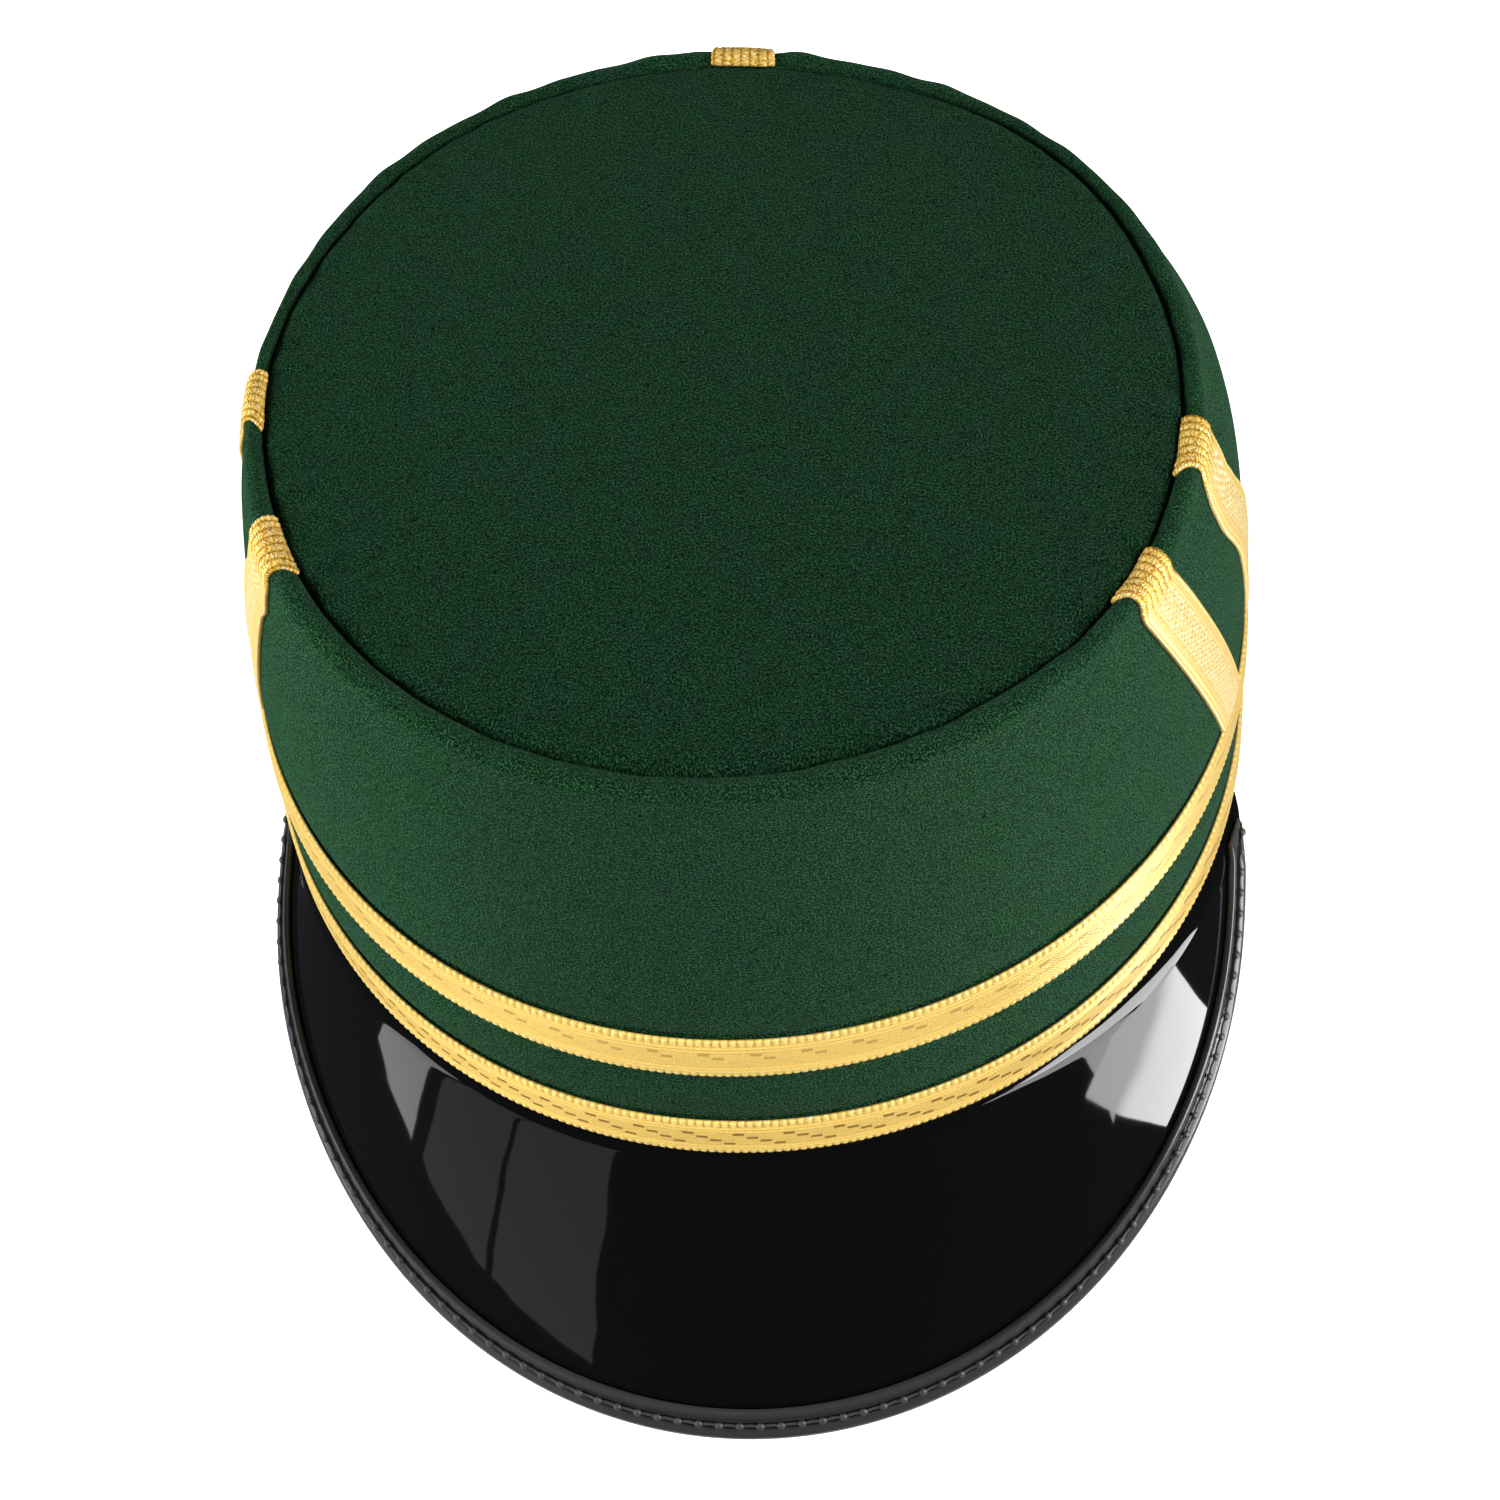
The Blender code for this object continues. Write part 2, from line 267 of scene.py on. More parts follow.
def measure_frame():
    """The level frame's place and the wall's sizes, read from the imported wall."""
    mesh = frame["nodes"]["side_wall"].data
    points = np.empty(len(mesh.vertices) * 3)
    mesh.vertices.foreach_get("co", points)
    level = points.reshape(-1, 3) @ tilt_matrix()
    bottom = level[level[:, 2] < level[:, 2].min() + GAP / 3.0]
    origin = np.array([0.0, bottom[bottom[:, 0].argmax(), 1], level[:, 2].min()])
    bottom = bottom - origin
    level = level - origin
    top = level[level[:, 2] > level[:, 2].max() - GAP / 3.0]
    return {
        "origin": origin,
        "half_width": bottom[:, 0].max(),
        "front": -bottom[:, 1].min(),
        "rear": bottom[:, 1].max(),
        "rim_height": level[:, 2].max() - ROLL_RADIUS,
        "top_radius": top[:, 0].max() + ROLL_RADIUS,
        "top_forward": -(top[:, 1].max() + top[:, 1].min()) / 2.0,
    }


CAP = measure_frame()
RIM_HEIGHT = CAP["rim_height"]
TOP_RADIUS = CAP["top_radius"]
TOP_SHIFT = np.array([0.0, -CAP["top_forward"], 0.0])


def in_row_frame(points):
    """Points of the level frame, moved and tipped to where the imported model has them."""
    return (points + CAP["origin"]) @ tilt_matrix().T


def together(*parts):
    """Stacks coordinates that broadcast with each other as the last axis of one array."""
    return np.stack(np.broadcast_arrays(*parts), -1)


def about_axis(turn, distance, height):
    """Points at a turn, a level distance from the middle and a height."""
    return together(distance * np.sin(turn), -distance * np.cos(turn), height)


def all_round(count):
    """Evenly spaced angles of a whole turn, without its last."""
    return np.linspace(0.0, 2.0 * pi, count, endpoint=False)


def way_along(points, closed=False):
    """How far each point lies along a line, and its first point once more where it closes."""
    if closed:
        points = np.vstack([points, points[:1]])
    steps = np.linalg.norm(np.diff(points, axis=0), axis=-1)
    return np.concatenate([[0.0], np.cumsum(steps)])


def unit(vectors):
    """Each vector over its own length."""
    return vectors / np.linalg.norm(vectors, axis=-1, keepdims=True)


def smooth_step(low, high, value):
    """0 below low, 1 above high and an even cubic between them."""
    t = np.clip((value - low) / (high - low), 0.0, 1.0)
    return t * t * (3.0 - 2.0 * t)


def bell(value, width):
    """1 at value 0, falling off as a Gauss curve of this width."""
    return np.exp(-((value / width) ** 2))


def turn_apart(turn, other):
    """The signed angle from other to turn, by the shorter way round."""
    return (turn - other + pi) % (2.0 * pi) - pi


# Surfaces of the cap


def hand_line(turn, knots):
    """A line drawn round the cap, in metres: straight between knots, then rounded."""
    places, sizes = np.array(knots).T
    near = np.degrees(turn)[..., None] + np.linspace(-HAND_ROUNDING, HAND_ROUNDING, 9)
    return np.interp(near, places, sizes, period=360.0).mean(-1) / 1000.0


def outward(turn, share_up):
    """Level direction square to the wall: the base oval's normal turning into the rim's."""
    reach = np.where(np.cos(turn) > 0.0, CAP["front"], CAP["rear"])
    base = unit(together(np.sin(turn) / CAP["half_width"], -np.cos(turn) / reach, 0.0))
    blend = np.asarray(share_up)[..., None]
    return unit(base * (1.0 - blend) + about_axis(turn, 1.0, 0.0) * blend)


def wall_point(turn, height, out=0.0):
    """Straight line from the base oval to the rim circle, swollen by a parabola at mid height."""
    turn, height, out = np.broadcast_arrays(turn * 1.0, height * 1.0, out * 1.0)
    up = height / RIM_HEIGHT
    reach = np.where(np.cos(turn) > 0.0, CAP["front"], CAP["rear"])
    base = together(CAP["half_width"] * np.sin(turn), -reach * np.cos(turn), 0.0)
    rim = about_axis(turn, TOP_RADIUS, 0.0) + TOP_SHIFT
    swell = WALL_SWELL * 4.0 * up * (1.0 - up)
    points = base + (rim - base) * up[..., None] + outward(turn, up) * (swell + out)[..., None]
    points[..., 2] = height
    return points


def rim_lift(turn):
    """Height of the rolled rim over its even roundness: waves, nips under straps, bulges."""
    lift = sum(size * np.sin(count * turn + phase) for count, size, phase in RIM_WAVES)
    for _, rim_turn, _ in STRAPS:
        away = np.abs(turn_apart(turn, radians(rim_turn))) * TOP_RADIUS / STRAP_WIDTH
        lift = lift - STRAP_NIP * bell(away, STRAP_NIP_REACH)
        lift = lift + STRAP_BULGE * bell(away - STRAP_BULGE_PLACE, STRAP_BULGE_REACH)
    return lift


def stripe_puff(turn, height):
    """How far the cloth rises in half a wave above each row of lace, less its nips, which
    follow the upper edges of the lace and fade out towards the sides."""
    stripe = UPPER_LACE_HEIGHT - LOWER_LACE_HEIGHT - LACE_WIDTH
    rise, nip = 0.0, 0.0
    for low, puff in ((LOWER_LACE_HEIGHT, 1.0), (UPPER_LACE_HEIGHT, 0.6)):
        above = height - low - LACE_WIDTH
        rise = rise + puff * np.sin(pi * np.clip(above / stripe, 0.0, 1.0))
        nip = nip + bell(above - NIP_OFFSET, NIP_REACH)
    fade = smooth_step(*NIP_FADE_TURNS, np.abs(turn_apart(turn, 0.0)))
    return STRIPE_PUFF * rise - NIP_DEPTH * (1.0 - NIP_FADE * fade) * nip


def cloth_out(turn, height):
    """How far the blocked cloth stands out of the even wall at a turn and a height."""
    swell = 0.0
    for middle, level, round_reach, up_reach, size in WALL_SWELLINGS:
        swell = swell + size * bell(turn_apart(turn, middle), round_reach) * bell(
            height - level, up_reach
        )
    at_rim = smooth_step(RIM_HEIGHT - RIM_LINE_REACH, RIM_HEIGHT, height)
    return swell + (hand_line(turn, RIM_LINE) - swell) * at_rim


def cloth_point(turn, height, out=0.0):
    """A point over the blocked cloth of the wall, which lace and straps lie on as well."""
    turn, height, out = np.broadcast_arrays(turn * 1.0, height * 1.0, out * 1.0)
    return wall_point(turn, height, out + cloth_out(turn, height))


def roll_sides(turn):
    """Level distances of the roll's inner and outer side from the rim circle's middle."""
    outer = TOP_RADIUS + cloth_out(turn, RIM_HEIGHT)
    return TOP_RADIUS - 2.0 * ROLL_RADIUS + hand_line(turn, SEAM_LINE), outer


def roll_point(turn, round_angle, out=0.0):
    """Half an ellipse over the rim: angle 0 outside, 180 degrees at the seam."""
    turn, round_angle = np.broadcast_arrays(turn * 1.0, round_angle * 1.0)
    inner, outer = roll_sides(turn)
    level = (outer + inner) / 2.0 + ((outer - inner) / 2.0 + out) * np.cos(round_angle)
    rise = (ROLL_RADIUS + rim_lift(turn) + out) * np.sin(round_angle)
    return about_axis(turn, level, RIM_HEIGHT + rise) + TOP_SHIFT


def peak_length(turn):
    """From the seam to the edge: the length at the ends, and more towards the front by a power
    of one less the square of the turn."""
    side = np.abs(turn) / PEAK_TURN
    taper = np.maximum(0.0, 1.0 - side * side) ** PEAK_TAPER
    return PEAK_END_LENGTH + (PEAK_LENGTH - PEAK_END_LENGTH) * taper


def peak_bend(turn):
    """The angle that the peak reaches after its first sharp bend."""
    side = np.abs(turn) / PEAK_TURN
    droop = PEAK_DROOP_FRONT + (PEAK_DROOP_SIDE - PEAK_DROOP_FRONT) * side * side
    return droop - peak_length(turn) / PEAK_CURL_RADIUS / 2.0


def peak_point(turn, along, lift=0.0):
    """Upper side of the peak: level below the wall, a tight arc down, then a wide arc."""
    turn, along, lift = np.broadcast_arrays(turn * 1.0, along * 1.0, lift * 1.0)
    bend = peak_bend(turn)
    lean = np.clip(along / PEAK_BEND, 0.0, bend)
    out = np.minimum(along, 0.0) + PEAK_BEND * np.sin(lean)
    down = PEAK_BEND * (1.0 - np.cos(lean))
    curl = bend + np.maximum(along - PEAK_BEND * bend, 0.0) / PEAK_CURL_RADIUS
    out = out + PEAK_CURL_RADIUS * (np.sin(curl) - np.sin(bend))
    down = down + PEAK_CURL_RADIUS * (np.cos(bend) - np.cos(curl))
    lean = lean + curl - bend
    out = out + lift * np.sin(lean) - PEAK_TUCK
    down = down + GAP - lift * np.cos(lean)
    for middle, reach, size in PEAK_DRAWN_IN:
        drawn = bell(turn_apart(turn, middle), reach) * smooth_step(0.0, PEAK_DRAWN_FROM, along)
        out = out - size * drawn
    points = wall_point(turn, 0.0, out)
    points[..., 2] -= down
    return points


# Meshes


def signed_volume(points, faces):
    """A multiple of the volume inside four-sided faces, below 0 where they face inwards."""
    a, b, c, d = (points[faces[:, k]] for k in range(4))
    cross = np.cross(b - a, c - a) + np.cross(c - a, d - a)
    return np.einsum("ij,ij->", a - points.mean(0), cross)


def new_mesh(name, points, faces, uv=None):
    """A smooth mesh of points in the level frame, with a UV place for each corner in turn."""
    mesh = bpy.data.meshes.new(name)
    mesh.from_pydata(in_row_frame(points), [], faces)
    if uv is not None:
        mesh.uv_layers.new(name="UVMap").data.foreach_set("uv", uv.ravel())
    mesh.validate()
    mesh.shade_smooth()
    return mesh


def shell_mesh(name, rings, around, uv=None):
    """A closed surface through closed rings of points (station, place, 3).

    With around the last ring joins the first, and otherwise a flat cap closes each end. uv has
    one more station and place than rings, so that a pattern can run on across the joins.
    """
    stations, count = rings.shape[:2]
    points = rings.reshape(-1, 3)
    s, k = np.mgrid[: stations if around else stations - 1, :count]
    corners = np.stack([together(s + a, k + b) for a, b in ((0, 0), (1, 0), (1, 1), (0, 1))], -2)
    corners = corners.reshape(-1, 4, 2)
    faces = corners[..., 0] % stations * count + corners[..., 1] % count
    if signed_volume(points, faces) < 0.0:
        faces = faces[:, ::-1]
        corners = corners[:, ::-1]
    caps = []
    if not around:
        first = list(range(count))
        last = [(stations - 1) * count + k for k in first]
        forward = faces[0, 0] // count != faces[0, 1] // count
        caps = [first, last[::-1]] if forward else [first[::-1], last]
    if uv is not None:
        flat = uv[corners[..., 0], corners[..., 1]].reshape(-1, 2)
        uv = np.vstack([flat, np.zeros((sum(map(len, caps)), 2))])
    return new_mesh(name, points, faces.tolist() + caps, uv)


def lens_faces(points, rows, columns):
    """Faces of closed rings and of a fan at each end, for points of the rings and two poles."""
    k = np.arange(columns)
    after = (k + 1) % columns
    row = np.arange(rows - 1)[:, None] * columns
    quads = np.stack([row + k, row + columns + k, row + columns + after, row + after], -1)
    low = (rows - 1) * columns
    head = np.stack([np.full(columns, rows * columns), k, after], -1)
    tail = np.stack([np.full(columns, rows * columns + 1), low + after, low + k], -1)
    quads = quads.reshape(-1, 4)
    way = -1 if signed_volume(points, quads) < 0.0 else 1
    return [part[:, ::way] for part in (quads, head, tail)]


def add_piece(mesh, material, slot, *nodes):
    """Puts a finished mesh into the scene, on the cap's body and in place of its nodes."""
    mesh.materials.append(material)
    piece = bpy.data.objects.new(mesh.name, mesh)
    bpy.context.scene.collection.objects.link(piece)
    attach(piece, BODY)
    if nodes:
        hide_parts(*nodes)
    return piece


# Materials

# The setting of a kind of node that the word after its full stop chooses.
CHOICES = {
    "Math": "operation", "VectorMath": "operation", "MapRange": "interpolation_type",
    "Mix": "data_type", "Mapping": "vector_type", "TexNoise": "noise_type",
}

# Nodes that patterns are worked out with. EASE goes smoothly from 0, or a start, where its
# value is at the first limit, to 1, or an end, where it is at the second.
PLUS, MINUS, TIMES, TIMES_PLUS = "Math.ADD", "Math.SUBTRACT", "Math.MULTIPLY", "Math.MULTIPLY_ADD"
EASE, BLEND, BLEND_COLOURS = "MapRange.SMOOTHSTEP", "Mix.FLOAT", "Mix.RGBA"
NOISE = "TexNoise.FBM"

# Patterns of the wool, per millimetre: curls of its fibres, grain of the felt, clouds in the
# nap and clouds of its hue. Real fibres and grain are some ten times finer, and are drawn as
# coarse as they need to show.
CURLS = 0.9
FELT_GRAIN = 2.8
NAP_CLOUDS = 0.35
HUE_CLOUDS = 0.09

# Patterns of the peak, per metre: swells of its lacquer, 14 mm wide, hair scratches, grain of
# the binding and twist of the thread, both coarser than the real ones, to show.
PEEL = 70.0
SCRATCHES = 60.0
BINDING_GRAIN = 1500.0
TWIST = 2500.0

# Patterns of the lace, in millimetres. Its wires and weave are drawn about twice as coarse as
# the real ones, to show.
WEAVE_PERIOD = 0.62
RIB_PERIOD = 0.9
BEAD_PERIODS = (0.62, 1.6)
STRAP_FIELD_EDGE = (2.6, 2.9)
STRAP_BEADS_END = (10.0, 7.0)
LOZENGE_COLUMN = 0.8
LOZENGE_REPEAT = 2.0
LOZENGE_HALVES = (0.34, 0.62)

# Painted light and shade on the two bands: their gilt is painted brighter towards the front and
# darker on the sides, standing in for how the lights fall on them. Between which distances from
# the front, in millimetres, and how bright it is painted at either.
LACE_PAINTED_LIGHT = (0.0, 85.0, 1.32, 0.66)

# Where the painted shade in the binding's groove begins and ends, in millimetres across it.
GROOVE_SHADE_START = (3.5, 3.9)
GROOVE_SHADE_END = (5.3, 4.9)


def add_node(tree, kind, *inputs, out=None, **named):
    """Adds a shader node and gives back its first output in use, or the one named by out.

    kind is the node's name, and a word after a full stop makes its choice. The inputs in use
    are filled or linked in order. Keywords with a capital do so by name, with _ for a space,
    and the others are the node's own settings.
    """
    kind, _, choice = kind.partition(".")
    node = tree.nodes.new("ShaderNode" + kind)
    if choice:
        setattr(node, CHOICES[kind], choice)
    pairs = []
    for key, value in named.items():
        if key[0].islower():
            setattr(node, key, value)
        else:
            pairs.append((node.inputs[key.replace("_", " ")], value))
    used = [socket for socket in node.inputs if socket.enabled]
    for socket, value in [*zip(used, inputs), *pairs]:
        if isinstance(value, bpy.types.NodeSocket):
            tree.links.new(value, socket)
        else:
            socket.default_value = (*value, 1.0) if socket.type == "RGBA" else value
    found = [socket for socket in node.outputs if socket.enabled and out in (None, socket.name)]
    return found[0] if found else None


def new_material(name):
    """An empty node material, and add_node for its tree."""
    made = bpy.data.materials.new(name)
    made.use_nodes = True
    made.node_tree.nodes.clear()
    return made, partial(add_node, made.node_tree)


def ripple(node, value, period):
    """Rounded ridges from 0 to 1, one in each period."""
    return node("Math.ABSOLUTE", node("Math.SINE", node(TIMES, value, pi / period)))


def off_line(node, value, period):
    """Distance of value from the nearest multiple of period."""
    return node("Math.PINGPONG", value, period / 2.0)


def in_millimetres(node):
    """The piece's own UV map in millimetres."""
    return node("VectorMath.SCALE", node("UVMap", uv_map="UVMap"), 1000.0)


def along_and_across(node, width):
    """Distances along a lace, across it and in from its nearer edge, in millimetres."""
    along, across = (node("SeparateXYZ", in_millimetres(node), out=axis) for axis in "XY")
    far = node(MINUS, width * 1000.0, across)
    return along, across, node("Math.MINIMUM", across, far)


def layered(node, colour, *layers):
    """A colour with others laid over it one after the other, each by its own amount."""
    for amount, other in layers:
        colour = node(BLEND_COLOURS, amount, colour, other)
    return colour


def strands(node, place, degrees, width, length):
    """Thin crooked strands that run roughly one way: the middle lines of a drawn-out noise."""
    drawn = node(
        "Mapping.TEXTURE", place, Rotation=(0.0, 0.0, radians(degrees)),
        Scale=(length, width, 1.0), Location=(degrees, 0.37 * degrees, 0.0),
    )
    off = node(MINUS, node(NOISE, drawn, Scale=1.0, Detail=1.0), 0.5)
    return node(EASE, node("Math.ABSOLUTE", off), 0.10, 0.0)


def felted_wool(settings, name, directions, painted_light_shift, nap):
    """Milled wool broadcloth with a short nap: matt and deep, a felt of fine curled fibres that
    are paler than the ground, faint clouds where the nap lies otherwise, and painted light on the
    whole base colour. directions are the ways that the fibres lie, in degrees,
    painted_light_shift is how much paler the base colour is painted: above 0 a painted sheen of
    the nap seen along the surface, below 0 painted shade. nap is how plainly its lightest fibres
    are seen."""
    made, node = new_material(name)
    place = in_millimetres(node)
    curl = node(NOISE, place, Scale=CURLS, Detail=1.0, out="Color")
    curled = node("VectorMath.ADD", place, curl)
    width, length = settings.fibre_width * 2000.0, settings.fibre_length * 1000.0
    layers = [strands(node, curled, degrees, width, length) for degrees in directions]
    felt = reduce(partial(node, "Math.MAXIMUM"), layers)
    grain = node(NOISE, place, Scale=FELT_GRAIN, Detail=3.0)
    cloud = node(NOISE, place, Scale=NAP_CLOUDS, Detail=2.0)
    hue = node(NOISE, place, Scale=HUE_CLOUDS, Detail=1.0)
    worn = node(EASE, grain, 0.32, 0.68)
    body = node(TIMES_PLUS, felt, 0.40, node(TIMES, worn, 0.45))
    # Painted light: the body colour is shifted paler on the wall's copy as a painted sheen, and
    # darker on the top's copy as painted shade.
    body = node(PLUS, body, node(EASE, cloud, 0.3, 0.7, painted_light_shift - 0.1, painted_light_shift + 0.1))
    pale = node(TIMES, node("Math.POWER", felt, 2.0), node(EASE, grain, 0.44, 0.64))
    fibre = layered(node, settings.fibre, (node(EASE, hue, 0.4, 0.6), settings.cool_fibre))
    base = layered(node, settings.deep, (body, settings.middle), (node(TIMES, pale, nap), fibre))
    height = node(TIMES_PLUS, worn, 0.5, felt)
    shader = node(
        "BsdfPrincipled", base, Roughness=0.95, Specular_IOR_Level=0.05, Sheen_Weight=0.12,
        Sheen_Roughness=0.15, Sheen_Tint=settings.sheen,
        Normal=node("Bump", Height=height, Strength=0.9, Distance=0.0003),
    )
    node("OutputMaterial", shader)
    return made


def close_lace(node, base, height):
    """Gilt wire, half a metal, with its relief as a bump."""
    bump = node("Bump", Height=height, Strength=0.6, Distance=0.00015)
    shader = node("BsdfPrincipled", base, Roughness=0.40, Metallic=0.2, Normal=bump)
    node("OutputMaterial", shader)


def gilt_lace(settings, name, shown, front):
    """Woven gilt wire: warm and bright, half a metal, with cords along the edges, a zigzag weave
    between them and flat strips that look brown. Painted light and shade: the furrows between the
    cords and the gaps between picots are painted darker as shade, the strips' brown is a painted
    reflection of the dark studio, and the picots carry painted glints. shown is how plainly the
    rows of strips are painted, upper pair and lower pair, and front is how far the front lies
    from the band's seam in millimetres: the gilt is painted brightest there and darker on the
    sides, as painted light and shade."""
    made, node = new_material(name)
    along, across, edge = along_and_across(node, LACE_WIDTH)
    fine = node(NOISE, in_millimetres(node), Scale=3.2, Detail=2.0)
    picot, cord, pitch = PICOT * 1000.0, CORD * 1000.0, DASH_PITCH * 1000.0
    repeat, half = settings.repeat * 1000.0, settings.dash_length * 500.0
    margin = picot + cord * CORDS
    field = node(EASE, edge, margin - 0.1, margin + 0.1)
    in_picot = node(EASE, edge, picot, picot - 0.15)
    ridge = ripple(node, node(MINUS, edge, picot), cord)
    loops = ripple(node, along, repeat / settings.picots)
    down = node(MINUS, DASH_TOP * 1000.0, across)
    row = node("Math.FLOOR", node("Math.DIVIDE", down, pitch))
    off_row = off_line(node, node(MINUS, down, pitch / 2.0), pitch)
    start = node(TIMES, row, settings.dash_step * 1000.0)
    off_dash = off_line(node, node(MINUS, along, start), repeat)
    # The strips are a real pattern; their brown colour is a painted reflection of the dark studio.
    dash = node(
        TIMES, node(EASE, off_dash, half + 0.1, half - 0.15), node(EASE, off_row, 0.50, 0.26)
    )
    dash = node(TIMES, node(TIMES, dash, field), node(EASE, row, 1.0, 2.0, *shown))
    weave = ripple(node, node(PLUS, along, off_line(node, down, pitch * 2.0)), WEAVE_PERIOD)
    # Painted shade: darker in the furrows between the cords and between the picot loops; the weave
    # and the fine noise add the thread's own tone.
    shade = node(TIMES, node(MINUS, 1.0, ridge), 0.55)
    shade = node(BLEND, field, shade, node(TIMES, weave, 0.35))
    shade = node(BLEND, in_picot, shade, node(MINUS, 0.75, loops))
    shade = node(PLUS, shade, node(EASE, fine, 0.35, 0.7, 0.40, -0.2))
    # Painted glints on the picots.
    painted_spark = node(TIMES, in_picot, node(EASE, fine, 0.62, 0.68))
    base = layered(
        node, settings.gold, (shade, settings.shaded_gold), (dash, settings.dash),
        (painted_spark, settings.painted_glint),
    )
    # Painted light and shade: the gilt is painted brighter at the front and darker on the sides.
    off_front = node("Math.ABSOLUTE", node(MINUS, along, front))
    base = node("VectorMath.SCALE", base, node(EASE, off_front, *LACE_PAINTED_LIGHT))
    height = node(BLEND, field, ridge, node(TIMES, weave, 0.5))
    height = node(MINUS, height, node(TIMES, dash, 0.4))
    close_lace(node, base, node(TIMES_PLUS, fine, 0.8, height))
    return made


def strap_lace(settings):
    """The same lace drawn down the wall, with painted light: beads of wire over the rim, deep gold
    with gaps painted dark as shade and painted glints, and below it a field of fine ribs painted
    a pale cream as a painted sheen, with flat lozenges painted bright as glints and marks painted
    dark as a reflection."""
    made, node = new_material("gilt_lace_strap")
    along, across, edge = along_and_across(node, STRAP_WIDTH)
    fine = node(NOISE, in_millimetres(node), Scale=3.4, Detail=2.0)
    slow = node(NOISE, in_millimetres(node), Scale=0.8, Detail=1.0)
    field = node(EASE, edge, *STRAP_FIELD_EDGE)
    ribs = ripple(node, edge, RIB_PERIOD)
    wander = node(TIMES_PLUS, fine, 2.4, node(MINUS, along, 1.2))
    over = node(EASE, wander, *STRAP_BEADS_END)
    bead = node(
        TIMES, ripple(node, node(TIMES_PLUS, slow, 2.2, along), BEAD_PERIODS[0]),
        ripple(node, node(TIMES_PLUS, fine, 0.7, across), BEAD_PERIODS[1]),
    )
    bead = node("Math.POWER", bead, 0.5)
    column = node("Math.FLOOR", node("Math.DIVIDE", across, LOZENGE_COLUMN))
    off_column = off_line(node, node(MINUS, across, LOZENGE_COLUMN / 2.0), LOZENGE_COLUMN)
    off_flash = off_line(node, node(MINUS, along, column), LOZENGE_REPEAT)
    half_width, half_length = LOZENGE_HALVES
    # The lozenges are a real pattern; their bright colour is a painted glint of the lights in the
    # flat metal.
    lozenge = node(
        TIMES_PLUS, off_column, 1.0 / half_width, node(TIMES, off_flash, 1.0 / half_length)
    )
    lozenge = node(TIMES, node(EASE, lozenge, 1.0, 0.6), field)
    lozenge = node(TIMES, lozenge, node(EASE, slow, 0.44, 0.56))
    # Dark marks of the pattern, whose brown is a painted reflection of the dark studio in the flat
    # metal.
    off_mark = off_line(node, node(MINUS, along, node(PLUS, column, 0.95)), LOZENGE_REPEAT)
    dark_reflection_mark = node(TIMES, node(EASE, off_mark, 0.65, 0.35), node(EASE, off_column, 0.22, 0.06))
    dark_reflection_mark = node(TIMES, dark_reflection_mark, node(TIMES, field, node(EASE, slow, 0.60, 0.46)))
    # Painted shade in the furrows between the ribs; the fine noise adds the thread's own tone.
    furrow = node(TIMES, node(MINUS, 1.0, ribs), 0.7)
    shade = node(BLEND, field, furrow, node(TIMES, dark_reflection_mark, 0.4))
    shade = node(PLUS, shade, node(EASE, fine, 0.35, 0.7, 0.2, -0.1))
    # Painted light over the rim: the gaps between the beads are painted darker as shade, and the
    # bead tops carry painted glints.
    gaps = node(MINUS, 1.0, bead)
    painted_bead_glint = node(TIMES, node(EASE, bead, 0.6, 0.85), node(EASE, fine, 0.5, 0.6))
    wire = layered(
        node, settings.bright_wire, (node(EASE, gaps, 0.15, 0.5), settings.shaded_gold),
        (node(EASE, gaps, 0.5, 0.9), settings.shadow), (painted_bead_glint, settings.painted_glint),
    )
    # Painted sheen: the field is painted pale cream, and over the rim the beads carry their
    # painted shade and glints.
    base = layered(
        node, settings.painted_sheen_cream, (shade, settings.shaded_gold), (node(TIMES, dark_reflection_mark, 0.6), settings.dash),
        (node(TIMES, lozenge, 0.85), settings.painted_glint), (over, wire),
    )
    height = node(BLEND, field, ribs, node(TIMES, lozenge, 0.6))
    height = node(BLEND, over, height, node(TIMES, bead, 2.0))
    height = node(TIMES_PLUS, fine, 0.6, height)
    close_lace(node, base, height)
    return made


def patent_leather(settings):
    """Black lacquer over leather: a deep mirror with a slight orange peel and hair scratches."""
    made, node = new_material("patent_leather")
    place = node("TexCoord", out="Object")
    peel = node(NOISE, place, Scale=PEEL, Detail=1.0)
    streak = node("Mapping", place, Rotation=(0.3, 0.5, 0.9), Scale=(1.0, 30.0, 6.0))
    scratch = node("TexNoise.RIDGED_MULTIFRACTAL", streak, Scale=SCRATCHES)
    shader = node(
        "BsdfPrincipled", settings.black, IOR=1.46,
        Roughness=node("MapRange", scratch, 0.6, 1.0, settings.gloss, settings.gloss + 0.06),
        Normal=node("Bump", Height=peel, Strength=0.25, Distance=0.0004),
    )
    node("OutputMaterial", shader)
    return made


def satin_binding(settings):
    """Black bookbinder's cloth, calendered to a satin: soft broad highlights, a fine grain and
    painted shade: a deeper black painted in the groove beyond the stitches."""
    made, node = new_material("satin_binding")
    across = node("SeparateXYZ", in_millimetres(node), out="Y")
    # Painted shade: black painted into the groove beyond the stitches.
    groove = node(TIMES, node(EASE, across, *GROOVE_SHADE_START), node(EASE, across, *GROOVE_SHADE_END))
    grain = node(NOISE, node("TexCoord", out="Object"), Scale=BINDING_GRAIN, Detail=3.0)
    shader = node(
        "BsdfPrincipled", layered(node, settings.unshaded, (groove, settings.black)),
        Roughness=node("MapRange", grain, 0.0, 1.0, 0.18, 0.30),
        Normal=node("Bump", Height=grain, Strength=0.08, Distance=0.00008),
    )
    node("OutputMaterial", shader)
    return made


